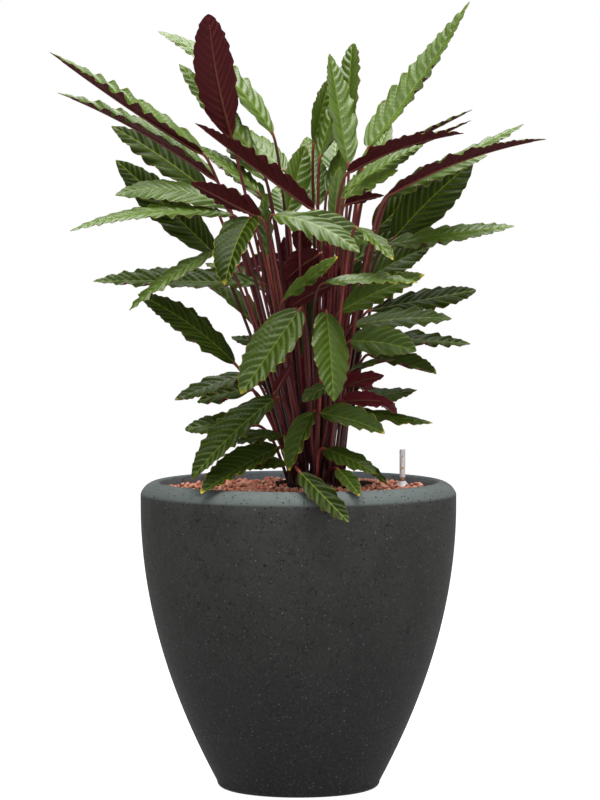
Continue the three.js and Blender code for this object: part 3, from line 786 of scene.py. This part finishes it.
def planter(material):
    """The tapered planter: rounded foot, swelling side, a crisp crease and a rounded shoulder."""
    corner = outer_radius(FOOT_ROUNDING) - FOOT_ROUNDING
    profile = [[0, 0], [corner - 30, 0]]
    for angle in range(0, 90, 15):
        profile.append([
            corner + FOOT_ROUNDING * math.sin(math.radians(angle)),
            FOOT_ROUNDING - FOOT_ROUNDING * math.cos(math.radians(angle)),
        ])
    profile += [[outer_radius(h), h] for h in np.arange(FOOT_ROUNDING, POT_WIDEST_AT, 12)]
    profile.append([POT_RADIUS, POT_WIDEST_AT])
    rim_radius = MOUTH_RADIUS + RIM_FLAT
    full = math.radians(SHOULDER_TURN)
    for part in np.linspace(1, 0, 11):
        profile.append([
            rim_radius + (POT_RADIUS - rim_radius) * math.sin(full * part) / math.sin(full),
            POT_HEIGHT - SHOULDER_DROP * (1 - math.cos(full * part)) / (1 - math.cos(full)),
        ])
    for angle in (30, 60, 90):
        profile.append([
            rim_radius - RIM_FLAT * math.sin(math.radians(angle)),
            POT_HEIGHT - RIM_FLAT + RIM_FLAT * math.cos(math.radians(angle)),
        ])
    profile += [[inner_radius(h), h] for h in np.arange(POT_HEIGHT - 10, FLOOR + 12, -16)]
    profile += [[inner_radius(FLOOR) - FLOOR_CORNER, FLOOR], [0, FLOOR]]
    shape = blank()
    turned(shape, profile, POT_SIDES)
    finish(shape, "planter_shell", [material], "planter", "planter")


# Filling
def surface_height(flat):
    """The granules' level at a place: it rises towards the root ball."""
    out = np.linalg.norm(flat - ROOT_CENTRE, axis=-1) - ROOT_RADIUS
    return GRANULE_LEVEL + GRANULE_MOUND * np.clip(1 - out / MOUND_REACH, 0, 1) ** 2


def granule_bed(material):
    """The bed under the loose granules, with the pocket for the root ball."""
    ring = around(96)
    inner = ROOT_CENTRE + (ROOT_RADIUS + FIT) * ring
    outer = (MOUTH_RADIUS - 2 * FIT) * ring
    rings = [
        level_ring(ROOT_CENTRE + 0 * ring, FLOOR + FIT),
        level_ring((inner_radius(FLOOR) - FLOOR_CORNER - 1) * ring, FLOOR + FIT),
    ]
    rings += [level_ring((inner_radius(h) - 2 * FIT) * ring, h) for h in (30, 90, 150, 210, 262)]
    for share in np.linspace(1, 0, 24):
        flat = inner + (outer - inner) * share
        rings.append(level_ring(flat, surface_height(flat) - BED_DROP))
    rings += [level_ring(inner, ROOT_BOTTOM), level_ring(ROOT_CENTRE + 0 * ring, ROOT_BOTTOM)]
    shape = blank("tone", "deep")
    # The bed is painted shade all over: it stands for the shade in the gaps between granules
    rolled(shape, np.array(rings), tone=0.2, deep=1.0)
    finish(shape, "granule_bed", [material], "clay_granules", "clay_granules")


def lump(seed, rings, sides):
    """Points and faces of a small uneven lump of radius about 1: a ball whose rings are turned a
    little against each other, and whose points are moved in or out at random. The points are put in
    order ring by ring, so that each keeps its own random move."""
    rng = np.random.default_rng(seed)
    ball = bmesh.new()
    from_x = Matrix.Rotation(-math.pi / 2, 4, "Z")
    bmesh.ops.create_uvsphere(ball, u_segments=sides, v_segments=rings, radius=1, matrix=from_x)
    bmesh.ops.triangulate(ball, faces=ball.faces, quad_method="ALTERNATE")
    ball.verts.index_update()
    places = np.array([vert.co for vert in ball.verts])
    ring = np.round((np.arcsin(places[:, 2].clip(-1, 1)) + math.pi / 2) * rings / math.pi)
    turn = (np.arctan2(places[:, 1], places[:, 0]) + 0.001) % (2 * math.pi)
    order = np.lexsort((turn, ring))
    rank = np.argsort(order)
    faces = np.array([[rank[vert.index] for vert in face.verts] for face in ball.faces])
    ball.free()
    verts, twist = places[order], ring[order] * 0.5
    verts = np.column_stack([
        verts[:, 0] * np.cos(twist) - verts[:, 1] * np.sin(twist),
        verts[:, 0] * np.sin(twist) + verts[:, 1] * np.cos(twist),
        verts[:, 2],
    ])
    return verts * rng.uniform(0.88, 1.1, (len(verts), 1)) * rng.uniform(0.8, 1.15, 3), faces


def scatter(name, material, places, radii, seed, rings=5, sides=6):
    """Lumps at the places given, each turned its own way, in one piece."""
    rng = np.random.default_rng(seed)
    shapes = [lump(seed * 100 + kind, rings, sides) for kind in range(LUMP_SHAPES)]
    points, faces, tones, deeps = [], [], [], []
    for number, (place, radius) in enumerate(zip(places, radii)):
        verts, lump_faces = shapes[number % LUMP_SHAPES]
        turn, _ = np.linalg.qr(rng.normal(size=(3, 3)))
        if np.linalg.det(turn) < 0:
            turn[:, 0] *= -1
        verts = verts @ turn.T
        faces.append(lump_faces + number * len(verts))
        points.append(verts * radius + place)
        tones.append(np.full(len(verts), rng.uniform(0, 1)))
        # Painted shade on each lump's lower side, which the lamps above leave in shade
        deeps.append(np.clip(0.3 - verts[:, 2], 0, 0.95))
    mesh = bpy.data.meshes.new(name)
    mesh.from_pydata((np.concatenate(points) * MM).tolist(), [], np.concatenate(faces).tolist())
    mesh.shade_smooth()
    for label, data in (("tone", tones), ("deep", deeps)):
        layer = mesh.attributes.new(label, "FLOAT", "POINT")
        layer.data.foreach_set("value", np.concatenate(data).astype(np.float32))
    hand_over(name, mesh, [material])


def granules(material):
    """Loose clay granules over the bed, packed in rows with every place shifted a little."""
    rng = np.random.default_rng(7)
    row = GRANULE_PITCH * math.sqrt(3) / 2
    reach, rows = int(MOUTH_RADIUS / GRANULE_PITCH) + 1, int(MOUTH_RADIUS / row)
    grid = [
        [(i + 0.5 * (j % 2)) * GRANULE_PITCH, j * row]
        for j in range(-rows, rows + 1)
        for i in range(-reach, reach + 1)
    ]
    flat = np.array(grid) + rng.uniform(-GRANULE_SHIFT, GRANULE_SHIFT, (len(grid), 2))
    in_mouth = np.linalg.norm(flat, axis=1) < MOUTH_RADIUS - max(GRANULE_RADIUS)
    off_root = np.linalg.norm(flat - ROOT_CENTRE, axis=1) > ROOT_RADIUS - 2
    off_gauge = np.linalg.norm(flat - GAUGE_AT, axis=1) > TUBE_RADIUS + 3.5
    flat = flat[in_mouth & off_root & off_gauge]
    lift = surface_height(flat) + rng.uniform(*GRANULE_LOWER, len(flat))
    on_top = rng.uniform(0, 1, len(flat)) < GRANULE_UPPER_SHARE
    stray = rng.uniform(-GRANULE_UPPER_SHIFT, GRANULE_UPPER_SHIFT, (on_top.sum(), 2))
    upper = flat[on_top] + stray
    lift = np.concatenate([lift, surface_height(upper) + rng.uniform(*GRANULE_UPPER, len(upper))])
    flat = np.concatenate([flat, upper])
    radii = rng.uniform(*GRANULE_RADIUS, len(flat))
    by_foot = np.linalg.norm(flat - GAUGE_AT, axis=1) < COLLAR_RADIUS + COLLAR_CLEARING
    lift[by_foot] = collar_bottom() - COLLAR_SINK + rng.uniform(-0.8, 0.4, by_foot.sum())
    places = np.column_stack([flat, lift])
    half = len(places) // 2
    for number, part in enumerate((slice(0, half), slice(half, None))):
        name = f"granules_{number + 1}"
        scatter(name, material, places[part], radii[part], 11 + number)


def root_ball(material):
    """Dark soil with an uneven top, and crumbs lying on it."""
    profile = [[0, ROOT_BOTTOM], [60, ROOT_BOTTOM], [ROOT_RADIUS, ROOT_BOTTOM + 25]]
    profile.append([ROOT_RADIUS, SOIL_LEVEL - 8])
    profile += [[ROOT_RADIUS * share, SOIL_LEVEL - 4 * share ** 6] for share in np.linspace(0.985, 0, 22)]
    shape = blank()
    turned(shape, profile, 96, ROOT_CENTRE)
    for vert in shape.verts:
        if vert.co.z > (SOIL_LEVEL - 7) * MM:
            place = Vector((vert.co.x / MM, vert.co.y / MM, 3.0)) / SOIL_LUMPS
            vert.co.z += SOIL_ROUGHNESS * MM * noise.fractal(place, 0.8, 2.0, 4)
    finish(shape, "root_ball_soil", [material], "soil", "root_ball")
    rng = np.random.default_rng(21)
    turn, out = rng.uniform(0, 2 * math.pi, CRUMBS), ROOT_RADIUS * np.sqrt(rng.uniform(0, 0.93, CRUMBS))
    flat = ROOT_CENTRE + np.stack([out * np.cos(turn), out * np.sin(turn)], 1)
    places = np.column_stack([flat, SOIL_LEVEL + rng.uniform(-1, 1.4, CRUMBS)])
    radii = rng.uniform(*CRUMB_RADIUS, CRUMBS)
    scatter("soil_crumbs", material, places, radii, 31, rings=4, sides=5)


# Water gauge
def collar_bottom():
    """The height that the gauge's foot stands at in the frame, in millimetres."""
    low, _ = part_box("gauge_collar")
    return low.z / MM


def gauge_tube(material):
    bore = TUBE_RADIUS - TUBE_WALL
    shape = blank()
    turned(shape, [
        [bore, TUBE_BOTTOM], [TUBE_RADIUS, TUBE_BOTTOM], [TUBE_RADIUS, TUBE_TOP - 0.5],
        [TUBE_RADIUS - 0.5, TUBE_TOP], [0, TUBE_TOP], [0, TUBE_TOP - TUBE_WALL],
        [bore, TUBE_TOP - TUBE_WALL], [bore, TUBE_BOTTOM],
    ], 40, GAUGE_AT)
    finish(shape, "gauge_clear_tube", [material], "gauge_clear", "gauge_tube")


def gauge_foot(material):
    """The foot, which flares out from the tube onto the granules."""
    bore = TUBE_RADIUS + FIT
    bottom = collar_bottom()
    top = bottom + COLLAR_HEIGHT
    neck = bore + 0.8
    flare = [
        [neck + (COLLAR_RADIUS - neck) * (1 - share) ** 1.1, bottom + 1 + (COLLAR_HEIGHT - 1.4) * share]
        for share in np.linspace(0, 1, 9)
    ]
    shape = blank()
    turned(shape, [
        [bore, bottom], [COLLAR_RADIUS, bottom], *flare, [bore + 0.4, top], [bore, top], [bore, bottom],
    ], 40, GAUGE_AT)
    finish(shape, "gauge_flared_foot", [material], "gauge_clear", "gauge_collar")


def gauge_float(material):
    """The float's thin rod, with its thicker painted head."""
    head = TUBE_RADIUS - TUBE_WALL - 0.5
    shape = blank()
    turned(shape, [
        [0, TUBE_BOTTOM + 1], [FLOAT_ROD, TUBE_BOTTOM + 1], [FLOAT_ROD, FLOAT_TOP - 7],
        [head - 0.5, FLOAT_TOP - 5.6], [head, FLOAT_TOP - 5], [head, FLOAT_TOP - 1],
        [head - 0.4, FLOAT_TOP - 0.3], [head - 1, FLOAT_TOP], [0, FLOAT_TOP],
    ], 24, GAUGE_AT)
    finish(shape, "gauge_float_rod", [material], "gauge_float", "gauge_float")


def gauge_marks(material):
    """The small printed marks that wrap round the front of the tube: a triangle and a dot."""
    radius = TUBE_RADIUS + 0.02
    centre = Vector((*GAUGE_AT, 0)) * MM
    thicker = 1 + MARK_THICKNESS / radius
    for number, (height, corners, half_width, half_height) in enumerate(MARKS):
        outline = around(corners)[:, ::-1] * [-half_width, half_height]
        flat = outline * np.linspace(0, 1, 7)[:, None, None]
        turn = flat[..., 0] / TUBE_RADIUS
        rings = np.stack([
            GAUGE_AT[0] + radius * np.sin(turn),
            GAUGE_AT[1] - radius * np.cos(turn),
            height + flat[..., 1],
        ], -1)
        shape = blank()
        rolled(shape, rings)

        def outwards(place):
            raised = centre + (place - centre) * thicker
            return Vector((raised.x, raised.y, place.z))

        drawn_out(shape, shape.verts[:], outwards)
        finish(shape, f"gauge_mark_{number + 1}", [material], "gauge_float", smooth=False)


# Leaves
def lance(share, lean):
    """How wide the lance-shaped blade is at a share of its length, against its widest."""
    to_foot, to_tip = LANCE[0] + lean, LANCE[1] - lean
    widest = to_foot / (to_foot + to_tip)
    most = widest ** to_foot * (1 - widest) ** to_tip
    return share ** to_foot * (1 - share) ** to_tip / most


class Leaf:
    """One leaf: where its midrib runs, which way its upper face looks, and how its blade waves."""

    def __init__(self, foot, tip, seed, width, turn, bow, fold=None, lean=0):
        self.foot, self.width, self.bow, self.seed, self.lean = foot, width, bow, seed, lean
        self.chord = tip - foot
        self.length = np.linalg.norm(self.chord)
        along = self.chord / self.length
        self.level = squared(np.array([0.0, 0.0, 1.0]), along)
        flank = np.cross(along, self.level)
        if flank[1] > 0:
            flank = -flank
        angle = math.radians(turn)
        self.face = self.level * math.cos(angle) + flank * math.sin(angle)
        self.fold = math.radians(between(*FOLD, seed) if fold is None else fold)
        self.twist = math.radians(between(-TWIST, TWIST, seed + 0.3))
        self.wave = min(WAVE_MOST, WAVE_SHARE * width) * between(0.8, 1.15, seed + 0.6)
        self.pitch = between(*VEIN_PITCH, seed + 0.4)
        self.ripple = between(*WAVE_LENGTH, seed + 0.35)

    def midrib(self, share):
        share = np.asarray(share, float)[..., None]
        return self.foot + self.chord * share + self.level * self.bow * 2 * share * (1 - share)

    def heading(self, share):
        share = np.asarray(share, float)
        return unit(self.midrib(share + 0.01) - self.midrib(share - 0.01))

    def axes(self, share):
        """Sideways and upward directions of the blade at shares of its length."""
        heading = self.heading(share)
        flat = squared(np.broadcast_to(self.face, heading.shape), heading)
        lean = (self.twist * (np.asarray(share) - 0.4))[..., None]
        normal = flat * np.cos(lean) + np.cross(heading, flat) * np.sin(lean)
        return np.cross(heading, normal), normal

    def half(self, share):
        """Half the blade's width at a share of its length, no less than the stalk or a blunt tip."""
        end = np.where(share < 0.5, STALK_THIN * 0.85, 0.9)
        return np.maximum(end, self.width / 2 * lance(share, self.lean))

    def waves(self, share, edge, half, vein):
        """How far the blade rises from flat: the margin waves up and down, more in the blade's
        middle than at its ends, and pleats run along the side veins. Also the wave's phase."""
        along, out = share * self.length, np.abs(edge)
        swing = np.sin(math.pi * share ** 0.9).clip(0) ** 0.8
        hand = np.where(edge < 0, 0.0, 2.4) + 6 * draw(self.seed + 0.8)
        drift = 0.9 * np.sin(along / 31 + hand) + 0.5 * np.sin(along / 13 + 2 * hand)
        uneven = 0.75 + 0.45 * np.sin(along / 23 + 3 * hand)
        phase = 2 * math.pi * vein / self.ripple + hand + drift
        crest = self.wave * uneven * swing * np.sin(phase) * out ** 1.7
        ridge = 2 * math.pi * vein / self.pitch + 0.5 * drift
        fading = np.minimum(1, out * 4) * (1 - 0.45 * out ** 4)
        narrow = np.minimum(1, (half / PLEATED_WIDTH) ** 1.3)
        pleat = PLEAT * (2.2 * np.sqrt(np.sin(ridge / 2) ** 2 + 0.03) - 1.4) * fading * narrow
        return crest + pleat, phase

    def blade(self, shape, tone, tip):
        """Adds the blade: a waved sheet that arches a little from the midrib to its margins, extruded
        to its thickness, with a crisp margin."""
        rows = max(16, round(self.length / ROW_PITCH))
        share = np.linspace(0, 1, rows + 1)
        side, normal = self.axes(share)
        half = self.half(share)[:, None]
        share = share[:, None]
        edge = np.concatenate([-COLUMNS[:0:-1], COLUMNS])[None, :]
        out = np.abs(edge)
        reach = out * half
        first, second = VEIN_SLANT
        vein = share * self.length - first * reach - second * reach * out
        rise, phase = self.waves(share, edge, half, vein)
        lift = reach * math.sin(self.fold) + rise + 0.05 * half * np.sin(math.pi * out)
        spread = reach * math.cos(self.fold) * (1 + 0.03 * np.cos(phase) * out ** 2)
        across = -np.sign(edge) * spread
        centre = (self.midrib(share[:, 0])[:, None] + side[:, None] * across[..., None]
                  + normal[:, None] * lift[..., None])
        thick = normal[:, None] * (HALF_THICKNESS * (1 - 0.5 * out ** 3))[..., None]
        upper, lower = centre + thick, centre - thick
        verts = sheet(shape, lower, vein=vein / self.pitch, reach=reach * MM, edge=out,
                      share=share, tone=tone, tip=tip)
        above = {tuple(vert.co): place for vert, place in zip(verts, upper.reshape(-1, 3) * MM)}
        for vert in verts:
            for border in vert.link_edges:
                border.smooth = not border.is_boundary
            for face in vert.link_faces:
                face.material_index = 1
        for face in drawn_out(shape, verts, lambda place: above[tuple(place)]):
            face.material_index = 0

    def tone_and_painted_light(self):
        """0 for a leaf low in the plant or behind, painted dark as painted shade, 1 for one at the top,
        painted pale as painted light; a random part gives each leaf a tone of its own.
        """
        middle = self.foot + self.chord / 2
        down_low, up_high = SHADE_TO_LIGHT_HEIGHTS
        high = np.clip((middle[2] - down_low) / (up_high - down_low), 0, 1)
        behind = np.clip(middle[1] / PAINTED_SHADE_DEPTH, 0, 1)
        return float(np.clip(0.75 * high + 0.4 * draw(self.seed + 0.15) - 0.35 * behind, 0, 1))

    def stalk(self, shape, root):
        """Adds the stalk, which runs on under the blade as its midrib."""
        rise = self.foot - root
        bend = min(30.0, 0.3 * np.linalg.norm(rise), 0.25 * self.length)
        corners = [
            root,
            root + [0.25 * rise[0], 0.25 * rise[1], max(STALK_RISE, 0.38 * rise[2])],
            self.foot - self.heading(0.0) * bend,
            self.foot,
        ]
        t = np.linspace(0, 1, STALK_STEPS)[:, None]
        weights = [(1 - t) ** 3, 3 * t * (1 - t) ** 2, 3 * t ** 2 * (1 - t), t ** 3]
        path = sum(weight * corner for weight, corner in zip(weights, corners))
        length = np.linalg.norm(np.diff(path, axis=0), axis=1).sum()
        joint = np.exp(-((1 - t[:, 0]) * length / JOINT_LENGTH) ** 2)
        radius = STALK_THICK + (STALK_THIN - STALK_THICK) * t[:, 0]
        radius = radius * (1 + JOINT_SWELLING * joint)
        share = np.linspace(0, 0.92, STALK_STEPS)[1:]
        rib = STALK_THIN * (1 - share) ** 0.8 + 0.25
        _, normal = self.axes(share)
        under = self.midrib(share) - normal * (rib * 0.75 + HALF_THICKNESS * 0.2)[:, None]
        path = np.concatenate([path, under])
        radius = np.concatenate([radius, rib])
        share = np.concatenate([t[:, 0], 1 + share])
        rod(shape, path, radius, 8, share=share[:, None], tone=draw(self.seed + 0.9))


def rod(shape, path, radius, sides, **values):
    """Adds a round rod along a path, closed at both ends."""
    ahead = unit(np.gradient(path, axis=0))
    start = np.array([1.0, 0.0, 0.0])
    if abs(ahead[0] @ start) > 0.9:
        start = np.array([0.0, 1.0, 0.0])
    across = [squared(start, ahead[0])]
    for direction in ahead[1:]:
        across.append(squared(across[-1], direction))
    across = np.array(across)
    upward = np.cross(ahead, across)
    ring = around(sides)
    offsets = across[:, None] * ring[:, :1] + upward[:, None] * ring[:, 1:]
    rolled(shape, path[:, None] + radius[:, None, None] * offsets, **values)
    bmesh.ops.holes_fill(shape, edges=[edge for edge in shape.edges if edge.is_boundary])


def sheath(shape, stand, seed):
    """The papery sheath at the foot of a shoot."""
    heights, radii = SHEATH_PROFILE.T
    path = np.column_stack([np.full((len(heights), 2), stand), SHEATH_TOP + heights])
    rod(shape, path, radii, 10, share=0.0, tone=draw(seed))


def stalk_roots(stand, leaves):
    """Where the stalks leave their sheath: each stands off the middle the way that it leans."""
    base = np.array([stand[0], stand[1], STALK_ROOT])
    leans = np.array([unit(leaf.foot - base) for leaf in leaves])
    leans[:, 2] = 0
    leans -= leans.mean(0)
    most = max(0.01, np.linalg.norm(leans, axis=1).max())
    return base + leans * STALK_SPREAD / most


# Shoots
def leaf_of(row, seed):
    """A leaf from a row of the tables."""
    return Leaf(seen(*row[:3]), seen(*row[3:6]), seed, *row[6:])


def front_shoots():
    seed = 0
    for name, ((x, y), rows) in SHOOTS.items():
        leaves = []
        for row in rows:
            seed += 1
            leaves.append(leaf_of(row, seed))
        yield name, np.array([x, y]) + CROWN, leaves


def towards(angle, reach, height):
    """A place this far from the crown's middle, in this direction."""
    return np.array([CROWN[0] + reach * math.cos(angle), reach * math.sin(angle), height])


def back_shoots():
    """Shoots round the back of the crown, each with leaves one above the other."""
    low, high = BACK_BEARINGS
    for number in range(BACK_SHOOTS):
        bearing = math.radians(low + (high - low) * number / (BACK_SHOOTS - 1))
        odd = number % 2
        leaves = []
        for tier, height in enumerate(BACK_FEET):
            seed = 200 + number * 10 + tier
            angle = bearing + math.radians(between(-5, 5, seed + 0.1))
            foot_reach = BACK_STAND + (0.2 + 0.1 * (2 - tier)) * (height - SOIL_LEVEL)
            rise = between(-70, 10, seed + 0.2) + 55 * tier + odd * 20
            tip_angle = angle + math.radians(between(-6, 6, seed + 0.4))
            leaves.append(Leaf(
                towards(angle, foot_reach, height + odd * 50),
                towards(tip_angle, foot_reach + BACK_LEAF_REACH, height + rise),
                seed,
                width=between(42, 52, seed + 0.5),
                turn=between(-12, 12, seed + 0.7),
                bow=10,
            ))
        for place, row in enumerate(INNER_LEAVES[number]):
            leaves.append(leaf_of(row, 300 + number * 10 + place))
        yield f"back_{number + 1}", towards(bearing, BACK_STAND, 0)[:2], leaves


def shoots(above, beneath, skin):
    """Every leafy shoot: its blades in one piece, and its stalks and sheath in another."""
    for name, stand, leaves in [*front_shoots(), *back_shoots()]:
        blades = blank("vein", "reach", "edge", "share", "tone", "tip")
        stalks = blank("share", "tone")
        for place, (leaf, root) in enumerate(zip(leaves, stalk_roots(stand, leaves))):
            # Leaves in the shaded list are painted dark all over, as painted shade; the rest get painted
            # light and shade from their place, and a random tone
            tone_and_painted_light = 0.0 if (name, place) in PAINTED_SHADE_LEAVES else leaf.tone_and_painted_light()
            leaf.blade(blades, tone_and_painted_light, YELLOW_TIPS.get((name, place), 0.0))
            leaf.stalk(stalks, root)
        sheath(stalks, stand, leaves[0].seed + 0.05)
        finish(blades, f"blades_{name}", [above, beneath], "leaf", f"shoot_{name}")
        finish(stalks, f"stalks_{name}", [skin], "leaf", f"shoot_{name}")


# Scene
def area_light(name, place, size, power):
    """A soft rectangular lamp that is aimed at the middle of the plant."""
    data = bpy.data.lights.new(name, "AREA")
    data.shape = "RECTANGLE"
    data.size, data.size_y = size
    data.energy = power
    light = bpy.data.objects.new(name, data)
    light.location = place
    light.rotation_euler = (LIT_PLACE - Vector(place)).to_track_quat("-Z", "Y").to_euler()
    bpy.context.scene.collection.objects.link(light)


def floor():
    mesh = bpy.data.meshes.new("studio_floor")
    shape = bmesh.new()
    bmesh.ops.create_grid(shape, x_segments=1, y_segments=1, size=FLOOR_REACH)
    shape.to_mesh(mesh)
    shape.free()
    mesh.materials.append(floor_paint())
    piece = bpy.data.objects.new("studio_floor", mesh)
    bpy.context.scene.collection.objects.link(piece)
    piece.visible_diffuse = False


def world():
    """White where the camera sees it, and a dim even fill for everything else."""
    made = bpy.data.worlds.new("studio")
    made.use_nodes = True
    tree = made.node_tree
    seen_by_camera = add(tree, "LightPath", output="Is Camera Ray")
    strength = add(tree, "MapRange", {0: seen_by_camera, "To Min": 0.05, "To Max": 1.0})
    feed(tree, tree.nodes["Background"], {"Color": (1, 1, 1, 1), "Strength": strength})
    bpy.context.scene.world = made


def camera():
    data = bpy.data.cameras.new("camera")
    data.sensor_fit = "VERTICAL"
    data.sensor_height = 36
    data.lens = FOCAL_PIXELS / PICTURE[1] * data.sensor_height
    data.clip_end = 50
    view = bpy.data.objects.new("camera", data)
    view.location = EYE * MM
    view.rotation_euler = (math.radians(90 - CAMERA_PITCH), 0, 0)
    bpy.context.scene.collection.objects.link(view)
    bpy.context.scene.camera = view


bpy.context.scene.view_settings.view_transform = "Standard"
camera()
world()
floor()
area_light("overhead", (0.1, 0.2, 4.0), (3.2, 3.2), 330)
area_light("front_fill", (0.6, -4.5, 1.2), (4.0, 2.4), 70)
area_light("left_side", (-3.2, -2.6, 2.4), (1.3, 2.2), 36)
area_light("right_side", (3.2, -2.6, 2.4), (1.3, 2.2), 36)

planter(fibre_clay())
clay = fired_clay()
granule_bed(clay)
granules(clay)
root_ball(dark_soil())
clear = clear_plastic()
gauge_tube(clear)
gauge_foot(clear)
gauge_float(float_paint())
gauge_marks(mark_yellow())
shoots(leaf_above(), leaf_beneath(), stalk_skin())
